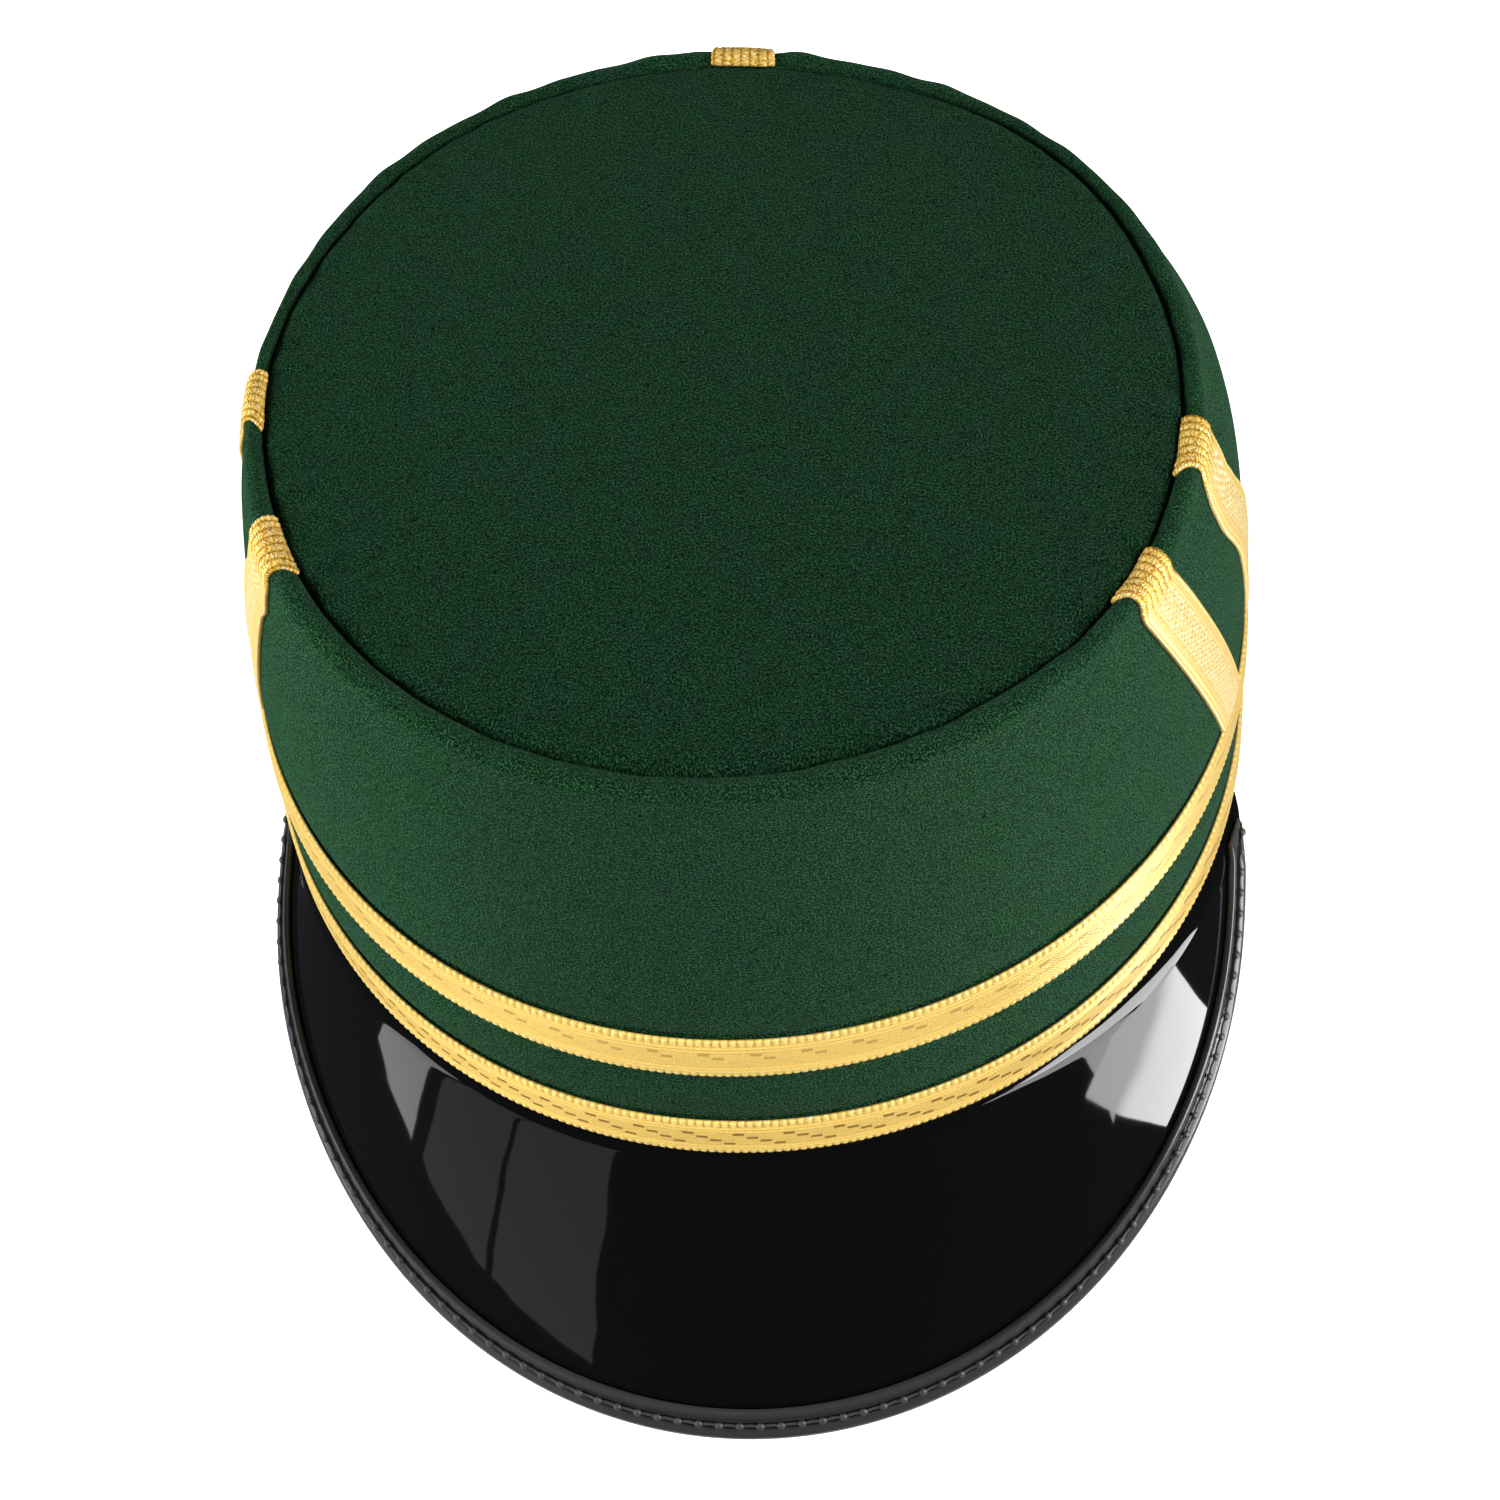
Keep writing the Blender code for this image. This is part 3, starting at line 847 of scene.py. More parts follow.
def waxed_thread(settings):
    """Waxed black sewing thread: dull, with a twist that catches the light along its edge."""
    made, node = new_material("waxed_thread")
    twist = node(NOISE, node("TexCoord", out="Object"), Scale=TWIST)
    bump = node("Bump", Height=twist, Strength=0.4, Distance=0.0001)
    shader = node("BsdfPrincipled", settings.thread, Roughness=0.45, Normal=bump)
    node("OutputMaterial", shader)
    return made


# Wool wall and top

WALL_COLUMNS = 720
WALL_ROWS = 56
ROLL_ROWS = 22
INSIDE_ROWS = 12
DOME_ROWS = 60
SHOULDER_ROWS = 12

# Rings of the top's dome: where they start, 1 being its middle, and the power that draws them
# together at its edge. Its tucks are so many round the seam, and reach in by this share.
DOME_START = 0.985
DOME_POWER = 1.25
TUCK_COUNTS = (47.0, 83.0)
TUCK_REACH = 0.05

# More rows of points just above each row of lace, where the cloth is nipped.
NIP_ROWS = np.linspace(-0.0012, 0.0020, 9)

# Ways that the fibres lie, in degrees: the wall's nap is brushed round it, the top's isn't.
WALL_FIBRES = (-62.0, -40.0, -15.0, 30.0, 80.0)
TOP_FIBRES = (5.0, 38.0, 75.0, 112.0, 150.0)


def wool_depth(turn):
    """Thickness of the wall's cloth, thinner where the roll over the rim is narrow."""
    inner, outer = roll_sides(turn)
    return np.minimum(WOOL, outer - inner - GAP)


def build_wall(settings):
    """Section: outside from the bottom edge up, half a circle over the rim, back down inside."""
    turn = all_round(WALL_COLUMNS)[:, None]
    edges = [low + LACE_WIDTH + NIP_ROWS for low in (LOWER_LACE_HEIGHT, UPPER_LACE_HEIGHT)]
    heights = np.sort(np.concatenate([np.linspace(0.0, RIM_HEIGHT, WALL_ROWS), *edges]))
    outside = cloth_point(turn, heights, stripe_puff(turn, heights))
    roll = roll_point(turn, np.linspace(0.0, pi, ROLL_ROWS + 1)[1:])
    heights = np.linspace(RIM_HEIGHT, 0.0, INSIDE_ROWS)
    inside = cloth_point(turn, heights, -wool_depth(turn))
    rings = np.concatenate([outside, roll, inside], 1)
    around = np.linspace(0.0, 2.0 * pi, WALL_COLUMNS + 1) * TOP_RADIUS
    uv = together(around[:, None], way_along(rings[0], closed=True))
    mesh = shell_mesh("wool_wall", rings, True, uv)
    # The wall's copy has its colour painted 0.15 paler, a painted sheen of the nap.
    material = felted_wool(settings.cloth, "felted_wool_brushed_painted_sheen", WALL_FIBRES, 0.15, 0.86)
    add_piece(mesh, material, "green_wool", "side_wall")


def build_top(settings):
    """Rings of a shallow dome whose edge turns down beside the rolled rim, then its flat
    underside. Small tucks run in from the seam and die out."""
    turn = all_round(WALL_COLUMNS)
    inner, outer = roll_sides(turn)
    edge = inner - GAP
    flat = edge - PAD_EDGE
    many, more = TUCK_COUNTS
    tucks = settings.cloth.pucker * (
        np.sin(many * turn + 2.0 * np.sin(5.0 * turn)) + 0.6 * np.sin(more * turn + 1.0)
    )
    level = RIM_HEIGHT + PAD_HEIGHT
    ways = 1.0 - np.linspace(DOME_START, 0.0, DOME_ROWS) ** DOME_POWER
    dome = [
        (
            flat * way,
            level + PAD_DOME * (1.0 - way * way) + tucks * bell(1.0 - way, TUCK_REACH) * way,
        )
        for way in ways
    ]
    bends = np.linspace(0.0, pi / 2.0, SHOULDER_ROWS + 1)[1:]
    shoulder = [
        (flat + PAD_EDGE * sin(bend), level - PAD_HEIGHT * (1.0 - cos(bend)) + tucks * cos(bend))
        for bend in bends
    ]
    low = RIM_HEIGHT - GAP
    flange = outer - wool_depth(turn) - GAP
    under = [(edge, low), (flange, low)]
    under += [(flange * inward, low - FLANGE) for inward in (1.0, 0.5, 0.05)]
    rows = [about_axis(turn, radius, height) for radius, height in dome + shoulder + under]
    poles = [[0.0, 0.0, level + PAD_DOME], [0.0, 0.0, low - FLANGE]]
    points = np.vstack([*rows, poles]) + TOP_SHIFT
    faces = lens_faces(points, len(rows), WALL_COLUMNS)
    index = np.concatenate([part.ravel() for part in faces])
    faces = [face for part in faces for face in part.tolist()]
    mesh = new_mesh("wool_top", points, faces, points[index][:, :2])
    # The top's copy has its colour painted 0.04 darker, as painted shade.
    material = felted_wool(settings.cloth, "felted_wool", TOP_FIBRES, -0.04, 0.57)
    top = add_piece(mesh, material, "green_wool", "crown_top")


# Gold lace

LACE_ROWS = 44
COLUMNS_PER_PICOT = 4
PICOT = 0.0014
CORD = 0.0009
CORDS = 2
LACE_BASE = 0.00046
CORD_RELIEF = 0.00020
FIELD_RELIEF = 0.00012
PICOT_BASE = 0.00030
PICOT_RELIEF = 0.00026
SCALLOP = 0.00020
SCALLOP_POWER = 8
LACE_TIP = 0.00035
TIP_HEIGHT = 0.35
DASH_TOP = 0.0077
DASH_PITCH = 0.00108


def lace_pattern(along, across, width, pitch):
    """Height and edge outline of the lace, from the place along and across it.

    A row of picots and two plain cords run along each edge, and the field between is flat. A
    cord is half a wave across the lace, and a picot half a wave across by the root of half a
    wave along, which the outline follows.
    """
    edge = np.minimum(across, width - across)
    knob = np.abs(np.sin(pi * along / pitch))
    in_picot = 1.0 - smooth_step(PICOT * 0.85, PICOT, edge)
    in_field = smooth_step(0.0, CORD * 0.2, edge - PICOT - CORD * CORDS)
    cord = np.abs(np.sin(pi * (edge - PICOT) / CORD))
    loop = np.sqrt(knob) * np.sin(pi * np.clip(edge / PICOT, 0.0, 1.0) ** 0.8)
    height = LACE_BASE + CORD_RELIEF * cord * (1.0 - in_field) + FIELD_RELIEF * in_field
    height = height * (1.0 - in_picot) + (PICOT_BASE + PICOT_RELIEF * loop) * in_picot
    return height, SCALLOP * (knob - 0.5)


def lace_rings(place, along, width, pitch, slide=0.0):
    """Rings round a band: its patterned face and its plain back.

    place gives the point for (across, out), along is the distance of each station.
    """
    across = np.linspace(0.0, width, LACE_ROWS)
    along = along[:, None] + slide * (across - width / 2.0)
    height, scallop = lace_pattern(along, across, width, pitch)
    side = 2.0 * across / width - 1.0
    spread = across + scallop * np.sign(side) * np.abs(side) ** SCALLOP_POWER
    tip = smooth_step(0.0, LACE_TIP, np.minimum(across, width - across))
    face = place(spread, GAP + height * (TIP_HEIGHT + (1.0 - TIP_HEIGHT) * tip))
    back = place(np.linspace(width, 0.0, 4), LACE_BACK)
    return np.concatenate([face, back], 1)


def band_uv(along, count, width):
    """Distances along and across a band, in metres, for its rings of this many points."""
    back = np.linspace(width, 0.0, count - LACE_ROWS + 1)
    return together(along[:, None], np.append(np.linspace(0.0, width, LACE_ROWS), back))


def even_turns(level, repeat, columns):
    """Turns and distances round the cap from its back, evenly spaced, in whole repeats."""
    fine = np.linspace(pi, 3.0 * pi, 4001)
    way = way_along(cloth_point(fine, level, GAP))
    repeats = round(way[-1] / repeat)
    even = np.linspace(0.0, way[-1], repeats * columns + 1)
    return np.interp(even, way, fine), even * (repeats * repeat / way[-1])


def build_bands(settings):
    """Two bands of lace round the wall. Their faces follow the cloth at each height."""
    lace = settings.lace
    for name, node, low, shown in (
        # The strips' painted reflection is painted plainly on the lower band and more faintly on
        # the upper band.
        ("lower_lace_band", "lower_lace", LOWER_LACE_HEIGHT, (0.9, 0.9)),
        ("upper_lace_band", "upper_lace", UPPER_LACE_HEIGHT, (0.5, 0.08)),
    ):
        columns = COLUMNS_PER_PICOT * lace.picots
        turns, along = even_turns(low + LACE_WIDTH / 2.0, lace.repeat, columns)
        turn = turns[:-1, None]

        def place(across, out):
            """A point of the band, over the wall's cloth."""
            return cloth_point(turn, low + across, out)

        rings = lace_rings(place, along[:-1], LACE_WIDTH, lace.repeat / lace.picots)
        uv = band_uv(along, rings.shape[1], LACE_WIDTH)
        mesh = shell_mesh(name, rings, True, uv)
        material = gilt_lace(lace, "gilt_" + name, shown, along[-1] * 500.0)
        add_piece(mesh, material, "gold_lace", node)


STRAP_STEP = 0.00022
STRAP_PICOT = 0.0009
STRAP_TAIL = 0.30
STRAP_WAIST = 0.06
STRAP_EASE = 0.06
SWAY_START = 0.15
TAIL_REACH = 0.0016
WAIST_PLACE = 0.0050
WAIST_REACH = 0.0025
TURN_PROBE = 0.01


def strap_way(rim_turn, low_turn, sway):
    """Stations of a strap: its turn, and its place as roll angle or height, by its length.

    It runs straight over the rolled rim, then eases into a slanting line down the wall.
    """
    lowest = UPPER_LACE_HEIGHT + LACE_WIDTH + GAP / 2.0
    fall = RIM_HEIGHT - lowest
    over = ROLL_RADIUS * STRAP_TUCK
    total = over + np.hypot(fall, (low_turn - rim_turn) * TOP_RADIUS)
    along = np.linspace(0.0, total, round(total / STRAP_STEP))
    angles = np.clip(STRAP_TUCK - along / ROLL_RADIUS, 0.0, None)
    down = np.clip((along - over) / (total - over), 0.0, 1.0)
    half = STRAP_EASE / 2.0
    drift = np.where(down < STRAP_EASE, down * down / (4.0 * half), down - half) / (1.0 - half)
    size, middle, reach = sway
    aside = radians(size) * bell(down - middle, reach) * smooth_step(0.0, SWAY_START, down)
    turns = rim_turn + (low_turn - rim_turn) * drift + aside
    return along, angles, RIM_HEIGHT - fall * down, turns


def strap_point(turn, angles, heights, out):
    """A point over the roll where its angle is above 0, and over the wall where it isn't."""
    on_roll = (angles > 0.0)[..., None]
    return np.where(on_roll, roll_point(turn, angles, out), cloth_point(turn, heights, out))


def build_straps(settings):
    """Lace straps from the seam of the top over the rim and down to the upper band.

    The end at the seam flares towards the front, but not on the strap at the back.
    """
    material = strap_lace(settings.lace)
    for node, rim_degrees, low_degrees in STRAPS:
        rim_turn, low_turn = radians(rim_degrees), radians(low_degrees)
        sway = STRAP_SWAY.get(node, NO_SWAY)
        along, angles, heights, turns = strap_way(rim_turn, low_turn, sway)
        angles, heights, turn = angles[:, None], heights[:, None], turns[:, None]
        reach = strap_point(turn + TURN_PROBE, angles, heights, GAP)
        reach = reach - strap_point(turn - TURN_PROBE, angles, heights, GAP)
        speed = np.linalg.norm(reach, axis=-1) / (2.0 * TURN_PROBE)
        lean = np.gradient(turns, along)[:, None] * speed
        slant = 1.0 / np.sqrt(np.clip(1.0 - lean * lean, 0.2, 1.0))
        tail = 1.0 + STRAP_TAIL * bell(along, TAIL_REACH)[:, None]
        waist = 1.0 - STRAP_WAIST * bell(along - WAIST_PLACE, WAIST_REACH)[:, None]

        def place(across, out):
            """A point of the strap, square to its way."""
            side = across - STRAP_WIDTH / 2.0
            flared = (side * np.sign(rim_turn) < 0.0) & (node != "strap_rear")
            away = side * slant / speed * np.where(flared, tail, 1.0) * waist
            return strap_point(turn + away, angles, heights, out)

        slide = float(np.sign(low_turn - rim_turn) * np.median(np.abs(lean)))
        rings = lace_rings(place, along, STRAP_WIDTH, STRAP_PICOT, slide)
        uv = band_uv(np.append(along, along[-1]), rings.shape[1], STRAP_WIDTH)
        mesh = shell_mesh(node + "_lace", rings, False, uv)
        add_piece(mesh, material, "gold_lace", node)


# Peak and binding

PEAK_COLUMNS = 360
BEND_ROWS = 15
CURL_ROWS = 46
PEAK_SHARP = radians(50)
BINDING_COLUMNS = 520
LEG_ROWS = 60
ROUND_ROWS = 24
LOWER_ROWS = 10
SLOT_WAYS = (0.0, 0.35, 0.7, 1.0)
BINDING_SHARP = radians(55)
ROUND_TOP = 0.0013
REACH_TURN = radians(50)
LEAST_SCALE = 0.35
GROOVE_LIFT = 0.00035
BEAD_WIDTH = 0.0021
BEAD_HEIGHT = 0.00060


def build_peak(settings):
    """Section: along the upper side to the edge, round it and back along the under side."""
    turn = np.linspace(-PEAK_TURN, PEAK_TURN, PEAK_COLUMNS)[:, None]
    last = peak_length(turn) - BINDING_SKIN - BINDING_GAP
    bend = np.minimum(PEAK_BEND * peak_bend(turn), last * PEAK_BEND_SHARE)
    margin = PEAK_TUCK - WOOL
    near = np.linspace(0.0, 1.0, BEND_ROWS) * bend
    far = bend + np.linspace(0.0, 1.0, CURL_ROWS)[1:] * (last - bend)
    along = np.concatenate([near[:, :1] + margin, near, far], 1)
    upper = peak_point(turn, along)
    under = peak_point(turn, along[:, ::-2], -PEAK_THICKNESS)
    rings = np.concatenate([upper, under], 1)
    mesh = shell_mesh("patent_peak", rings, False)
    mesh.set_sharp_from_angle(angle=PEAK_SHARP)
    add_piece(mesh, patent_leather(settings.peak), "patent_leather", "peak")


def binding_reach(settings, turn):
    """How far from the seam the binding's outer edge, start and scale are at a turn."""
    edge = peak_length(turn) + settings.peak.binding_reach * bell(turn, REACH_TURN)
    start = np.maximum(edge - settings.peak.binding_width, BINDING_START)
    scale = (edge - start) / settings.peak.binding_width
    return edge, start, np.clip(scale, LEAST_SCALE, 1.0)


def bead_lift(along):
    """Lift of the welt along the binding's inner side: the root of half a wave, which is drawn
    towards its start, so that it goes quickly up and gently down."""
    way = np.sqrt(np.clip(along / BEAD_WIDTH, 0.0, 1.0))
    return BEAD_HEIGHT * np.sqrt(np.sin(pi * way).clip(0.0))


def build_binding(settings, material):
    """Section: welt, stitched groove and round edge on the upper side, flat below."""
    turn = np.linspace(-BINDING_TURN, BINDING_TURN, BINDING_COLUMNS)[:, None]
    edge, start, scale = binding_reach(settings, turn)
    low = -PEAK_THICKNESS - BINDING_GAP - BINDING_SKIN
    radius = (ROUND_TOP * scale - low) / 2.0
    middle, level = edge - radius, low + radius
    way = start + (middle - start) * np.linspace(0.0, 1.0, LEG_ROWS)
    flank = level + np.sqrt(np.clip(radius**2 - (way - middle) ** 2, 0.0, None))
    ground = BINDING_GAP + (GROOVE_LIFT + bead_lift((way - start) / scale)) * scale
    ground[:, :1] = BINDING_GAP
    upper = peak_point(turn, way, np.maximum(flank, ground))
    bends = np.linspace(0.0, pi, ROUND_ROWS)[1:]
    round_edge = peak_point(
        turn, middle + radius * np.sin(bends), level + radius * np.cos(bends)
    )
    back = np.linspace(1.0, 0.0, LOWER_ROWS)[1:]
    lower = peak_point(turn, start + (middle - start) * back, low)
    slot_way = start + (edge - 2.0 * BINDING_SKIN - start) * np.array(SLOT_WAYS)
    slot_low = peak_point(turn, slot_way, -PEAK_THICKNESS - BINDING_GAP * 0.5)
    slot_top = peak_point(turn, slot_way[:, ::-1], BINDING_GAP * 0.5)
    rings = np.concatenate([upper, round_edge, lower, slot_low, slot_top], 1)
    down = way_along(rings[BINDING_COLUMNS // 2], closed=True)
    uv = together(np.append(turn, turn[-1])[:, None] * CAP["front"], down)
    mesh = shell_mesh("edge_binding", rings, False, uv)
    mesh.set_sharp_from_angle(angle=BINDING_SHARP)
    add_piece(mesh, material, "black_binding", "peak_binding")


STITCHED_TURN = BINDING_TURN * 0.985
STITCH_WAY = 0.0030
STITCH_LIFT = 0.0011
KNOT_SIZE = (0.00075, 0.00070, 0.00055)
KNOT_RINGS = 7
KNOT_SIDES = 10
THREAD_RADIUS = 0.00028
THREAD_SIDES = 8
THREAD_SAG = 0.00018
THREAD_SINK = 0.0001


def stitch_line(settings):
    """Turns of the stitches, evenly spaced along the groove."""
    fine = np.linspace(-STITCHED_TURN, STITCHED_TURN, 3001)
    way = way_along(groove_point(settings, fine, STITCH_LIFT))
    count = round(way[-1] / settings.peak.thread_pitch)
    return np.interp(np.linspace(0.0, way[-1], count), way, fine)


def groove_point(settings, turn, lift):
    """A point over the line of the stitches."""
    _, start, scale = binding_reach(settings, turn)
    return peak_point(turn, start + STITCH_WAY * scale, BINDING_GAP + lift * scale)


def groove_axes(settings, turn):
    """Unit directions along the groove, across it and away from the peak."""
    step = 0.001
    ahead = groove_point(settings, turn + step, STITCH_LIFT)
    forward = unit(ahead - groove_point(settings, turn - step, STITCH_LIFT))
    above = groove_point(settings, turn, STITCH_LIFT + step)
    away = unit(above - groove_point(settings, turn, STITCH_LIFT))
    return np.stack([forward, np.cross(away, forward), away], -2)


def turned_copies(template, places, axes):
    """A copy of the template at each place, turned to the axes there."""
    return places[:, None, :] + np.einsum("pk,nkj->npj", template, axes)


def build_stitches(settings, material):
    """A knot at each stitch, an ellipsoid of rings, and a thread that sags between the knots."""
    turns = stitch_line(settings)
    spot = groove_point(settings, turns, STITCH_LIFT)
    polar = np.linspace(0.0, pi, KNOT_RINGS + 2)[1:-1, None]
    around = all_round(KNOT_SIDES)
    ball = together(
        np.cos(polar), np.sin(polar) * np.cos(around), np.sin(polar) * np.sin(around)
    )
    poles = [[1.0, 0.0, 0.0], [-1.0, 0.0, 0.0]]
    template = np.vstack([ball.reshape(-1, 3), poles]) * np.array(KNOT_SIZE)
    knots = turned_copies(template, spot, groove_axes(settings, turns))
    faces = []
    for part in lens_faces(knots[0], KNOT_RINGS, KNOT_SIDES):
        copies = part + (np.arange(len(spot)) * len(template))[:, None, None]
        faces += copies.reshape(-1, part.shape[1]).tolist()
    mesh = new_mesh("binding_knots", knots.reshape(-1, 3), faces)
    add_piece(mesh, material, "black_binding")
    fine = np.linspace(turns[0], turns[-1], len(turns) * 8)
    phase = np.interp(fine, turns, np.arange(len(turns)))
    sag = THREAD_SAG * np.sin(pi * phase) ** 2
    centre = groove_point(settings, fine, STITCH_LIFT - THREAD_SINK - sag)
    around = all_round(THREAD_SIDES)
    rim = together(0.0, np.cos(around), np.sin(around)) * THREAD_RADIUS
    rings = turned_copies(rim, centre, groove_axes(settings, fine))
    add_piece(shell_mesh("binding_thread", rings, False), material, "black_binding")


# Stage

SOFTBOXES = (
    # name, azimuth, elevation, width, height in degrees, radiance, whether gloss mirrors it
    ("key_softbox", 85.5, 20.0, 18.0, 66.0, 13.2, True),
    ("key_near_softbox", 69.5, 20.0, 12.0, 60.0, 6.6, True),
    ("fill_softbox", -68.0, 3.0, 11.0, 33.0, 3.3, True),
    ("hidden_fill_softbox", -86.0, 12.0, 36.0, 34.0, 18.8, False),
    ("side_panel", -36.0, 4.0, 18.0, 34.0, 0.5, True),
    ("side_panel_far", -53.0, 4.0, 14.0, 34.0, 0.5, True),
)
WORLD_LIGHT = 0.06
WORLD_SEEN = 1.1
TABLE_RADIUS = 0.118
CARD_CORNERS = ((0.122, -0.072), (0.62, -0.352), (0.62, -0.06), (0.122, -0.040))
CARD_RADIANCE = 13.0
CARD_FAR_RADIANCE = 7.0
CARD_FADE = (0.19, 0.25)
CARD_LEVEL = -0.0001
TABLE_LEVEL = -0.0002
FLOOR_LEVEL = -0.0004
FLOOR_RADIUS = 6.0
DISC_SIDES = 96
LIGHT_DISTANCE = 1.6
LIGHT_AIM = Vector((0.0, 0.0, 0.07))
CAMERA_AIM = Vector((0.00114, -0.00588, 0.06))


def direction(azimuth, elevation):
    """From the cap towards a place in the studio, azimuth 0 in front of the peak."""
    return Vector(
        (sin(azimuth) * cos(elevation), -cos(azimuth) * cos(elevation), sin(elevation))
    )


def add_softbox(name, azimuth, elevation, width, height, radiance, mirrored):
    """A rectangular light that faces the cap and looks this many degrees wide and high."""
    light = bpy.data.lights.new(name, "AREA")
    light.shape = "RECTANGLE"
    light.size = 2.0 * LIGHT_DISTANCE * np.tan(radians(width) / 2.0)
    light.size_y = 2.0 * LIGHT_DISTANCE * np.tan(radians(height) / 2.0)
    light.energy = radiance * pi * light.size * light.size_y
    obj = bpy.data.objects.new(name, light)
    away = direction(radians(azimuth), radians(elevation))
    obj.location = LIGHT_AIM + away * LIGHT_DISTANCE
    obj.rotation_euler = away.to_track_quat("Z", "Y").to_euler()
    obj.visible_glossy = mirrored
    bpy.context.scene.collection.objects.link(obj)


def build_camera(studio):
    """Aims at the middle of the picture, then rolls about its own axis."""
    away = direction(studio.azimuth, studio.elevation)
    camera = bpy.data.cameras.new("camera")
    camera.lens = studio.lens
    obj = bpy.data.objects.new("camera", camera)
    level = Vector((cos(studio.azimuth), sin(studio.azimuth), 0.0))
    turned = Matrix((level, away.cross(level), away)).transposed().to_4x4()
    obj.matrix_world = (
        Matrix.Translation(CAMERA_AIM + away * studio.distance)
        @ turned
        @ Matrix.Rotation(studio.roll, 4, "Z")
    )
    bpy.context.scene.collection.objects.link(obj)
    bpy.context.scene.camera = obj


def stage_sheet(name, outline, material):
    """A flat sheet of the stage, whose outline runs the way that turns grow."""
    mesh = bpy.data.meshes.new(name)
    mesh.from_pydata(outline, [], [range(len(outline))])
    mesh.materials.append(material)
    sheet = bpy.data.objects.new(name, mesh)
    bpy.context.scene.collection.objects.link(sheet)
    return sheet


def white_paper(node, albedo, strength):
    """Matt white paper that also gives its own light, of this strength."""
    shader = node(
        "BsdfPrincipled", (albedo, albedo, albedo), Roughness=0.9,
        Emission_Color=(1.0, 1.0, 1.0), Emission_Strength=strength,
    )
    node("OutputMaterial", shader)


def build_card():
    """A card on the table beside the cap, brightest near it, which shows only in glossy
    surfaces."""
    made, node = new_material("white_card")
    glossy = node("LightPath", out="Is Glossy Ray")
    far = node("SeparateXYZ", node("TexCoord", out="Object"), out="X")
    lit = node(EASE, far, *CARD_FADE, CARD_RADIANCE, CARD_FAR_RADIANCE)
    strength = node(TIMES_PLUS, glossy, lit, node("LightPath", out="Is Camera Ray"))
    white_paper(node, 0.85, strength)
    stage_sheet("card", [(*corner, CARD_LEVEL) for corner in CARD_CORNERS], made)


def build_floor():
    """A white table top under the cap on a floor of the same paper, both seen as pure white.

    Only the table top shows in glossy surfaces, as behind it the studio is dark.
    """
    made, node = new_material("pale_floor")
    white_paper(node, 0.7, node("LightPath", out="Is Camera Ray"))
    turn = all_round(DISC_SIDES)
    stage_sheet("table_top", about_axis(turn, TABLE_RADIUS, TABLE_LEVEL), made)
    build_card()
    floor = stage_sheet("floor", about_axis(turn, FLOOR_RADIUS, FLOOR_LEVEL), made)
    floor.visible_glossy = False


def build_world():
    """Dim light from all sides, which the camera sees as pure white."""
    world = bpy.data.worlds.new("studio")
    world.use_nodes = True
    world.node_tree.nodes.clear()
    node = partial(add_node, world.node_tree)
    seen = node("LightPath", out="Is Camera Ray")
    strength = node("MapRange", seen, 0.0, 1.0, WORLD_LIGHT, WORLD_SEEN)
    node("OutputWorld", node("Background", (1.0, 1.0, 1.0), strength))
    bpy.context.scene.world = world


# Operators


class HUNTINGCAP_OT_wall(Operator):
    """Build the wool wall with its rolled rim"""

    bl_idname = "hunting_cap.wall"
    bl_label = "Wool wall"

    def execute(self, context):
        build_wall(context.scene.hunting_cap)
        return {"FINISHED"}


class HUNTINGCAP_OT_top(Operator):
    """Build the padded wool top"""

    bl_idname = "hunting_cap.top"
    bl_label = "Wool top"

    def execute(self, context):
        build_top(context.scene.hunting_cap)
        return {"FINISHED"}


class HUNTINGCAP_OT_lace(Operator):
    """Build the two bands of gold lace and the five straps"""

    bl_idname = "hunting_cap.lace"
    bl_label = "Gold lace"

    def execute(self, context):
        settings = context.scene.hunting_cap
        build_bands(settings)
        build_straps(settings)
        return {"FINISHED"}


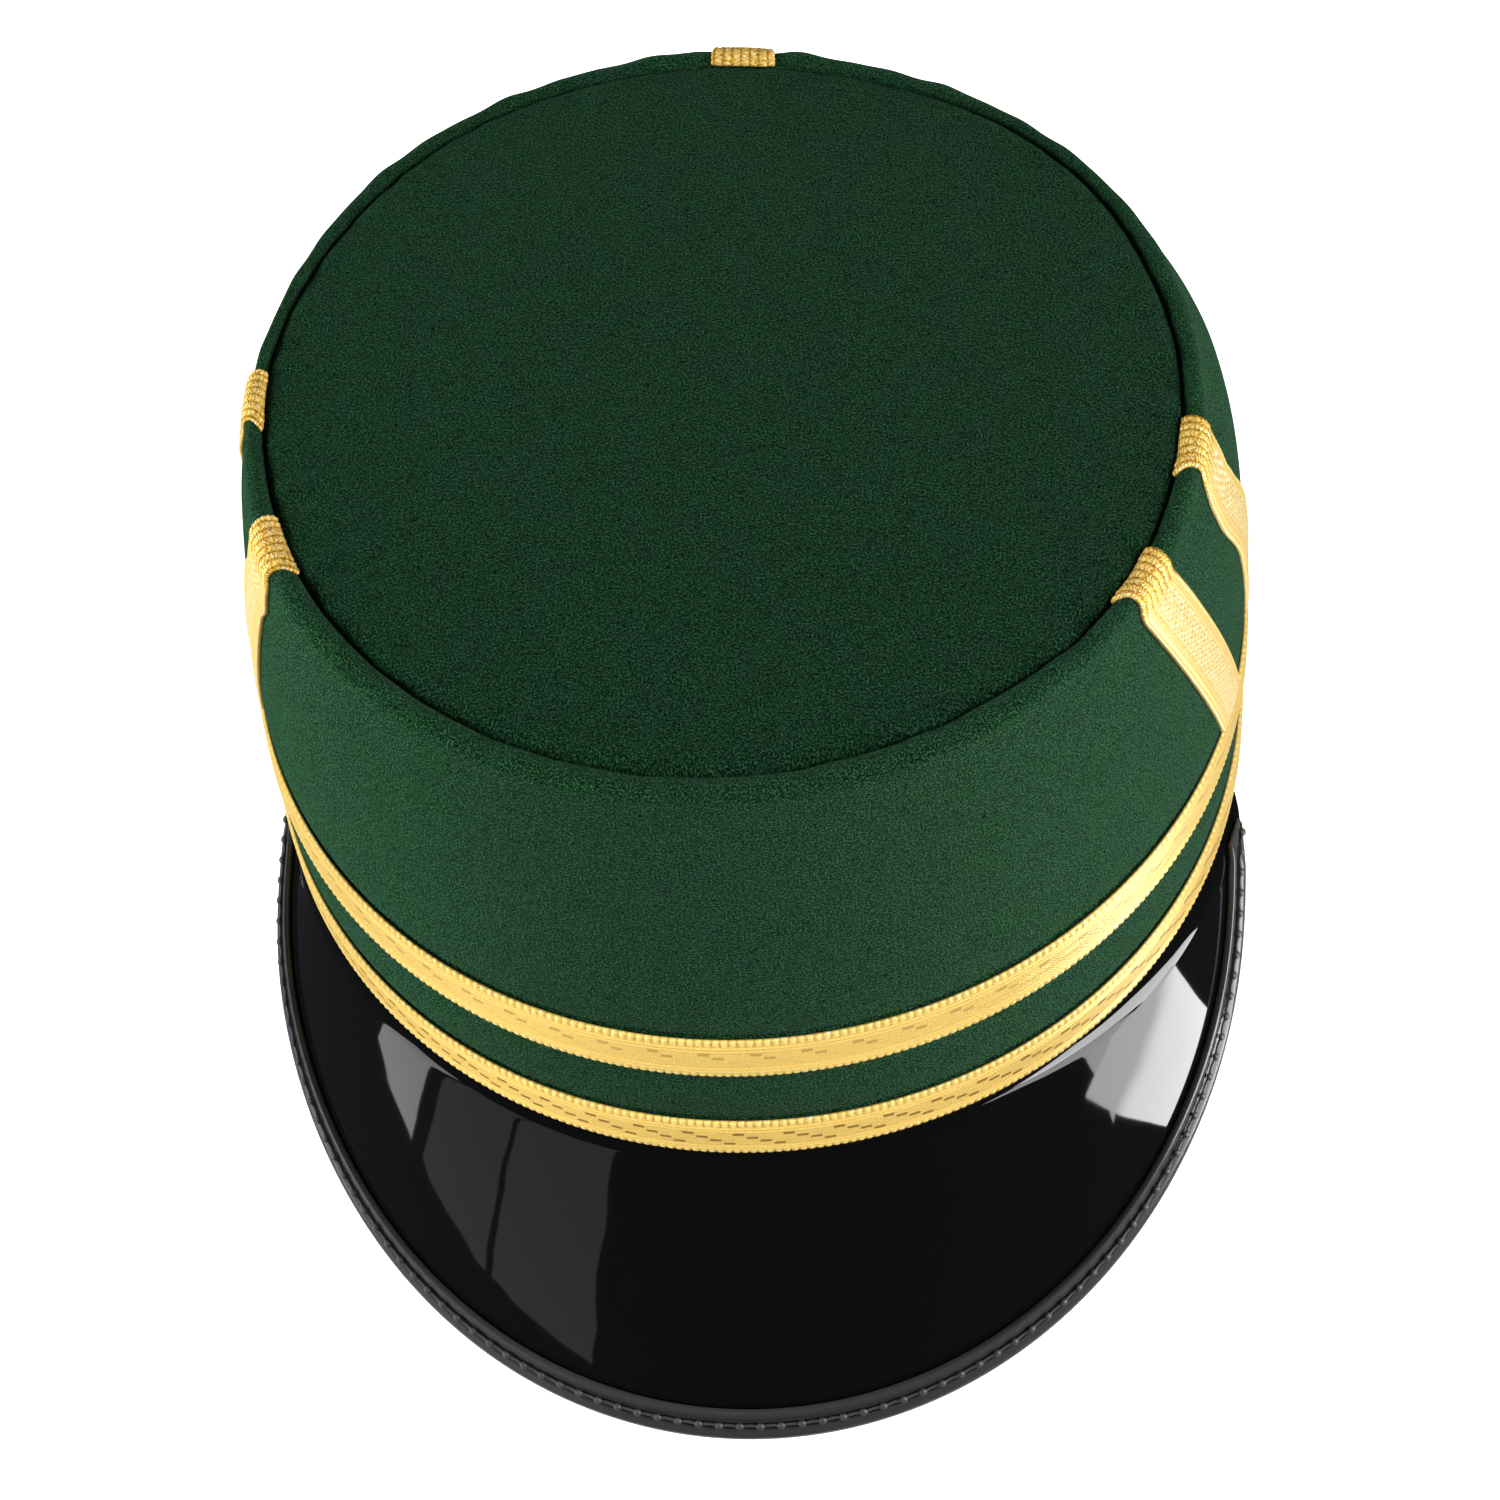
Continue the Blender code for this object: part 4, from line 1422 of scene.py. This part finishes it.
class HUNTINGCAP_OT_peak(Operator):
    """Build the patent peak"""

    bl_idname = "hunting_cap.peak"
    bl_label = "Patent peak"

    def execute(self, context):
        build_peak(context.scene.hunting_cap)
        return {"FINISHED"}


class HUNTINGCAP_OT_binding(Operator):
    """Build the binding of the peak and its stitches"""

    bl_idname = "hunting_cap.binding"
    bl_label = "Stitched binding"

    def execute(self, context):
        settings = context.scene.hunting_cap
        build_binding(settings, satin_binding(settings.peak))
        build_stitches(settings, waxed_thread(settings.peak))
        return {"FINISHED"}


class HUNTINGCAP_OT_stage(Operator):
    """Build the floor, the studio lights and the camera"""

    bl_idname = "hunting_cap.stage"
    bl_label = "Stage"

    def execute(self, context):
        build_camera(context.scene.hunting_cap.studio)
        build_floor()
        build_world()
        for softbox in SOFTBOXES:
            add_softbox(*softbox)
        context.scene.view_settings.view_transform = "Standard"
        return {"FINISHED"}


class HUNTINGCAP_PT_panel(Panel):
    """Sidebar panel with one button for each piece of the cap"""

    bl_label = "Hunting cap"
    bl_idname = "HUNTINGCAP_PT_panel"
    bl_space_type = "VIEW_3D"
    bl_region_type = "UI"
    bl_category = "Cap"

    def draw(self, context):
        for operator in OPERATORS:
            self.layout.operator(operator.bl_idname)


OPERATORS = (
    HUNTINGCAP_OT_wall,
    HUNTINGCAP_OT_top,
    HUNTINGCAP_OT_lace,
    HUNTINGCAP_OT_peak,
    HUNTINGCAP_OT_binding,
    HUNTINGCAP_OT_stage,
)
GROUPS = (ClothSettings, LaceSettings, PeakSettings, StudioSettings, CapSettings)
CLASSES = GROUPS + OPERATORS + (HUNTINGCAP_PT_panel,)


def register():
    for cls in CLASSES:
        bpy.utils.register_class(cls)
    bpy.types.Scene.hunting_cap = PointerProperty(type=CapSettings)


def unregister():
    del bpy.types.Scene.hunting_cap
    for cls in reversed(CLASSES):
        bpy.utils.unregister_class(cls)


def main():
    register()
    bpy.ops.hunting_cap.wall()
    bpy.ops.hunting_cap.top()
    bpy.ops.hunting_cap.lace()
    bpy.ops.hunting_cap.peak()
    bpy.ops.hunting_cap.binding()
    bpy.ops.hunting_cap.stage()


if __name__ == "__main__":
    main()
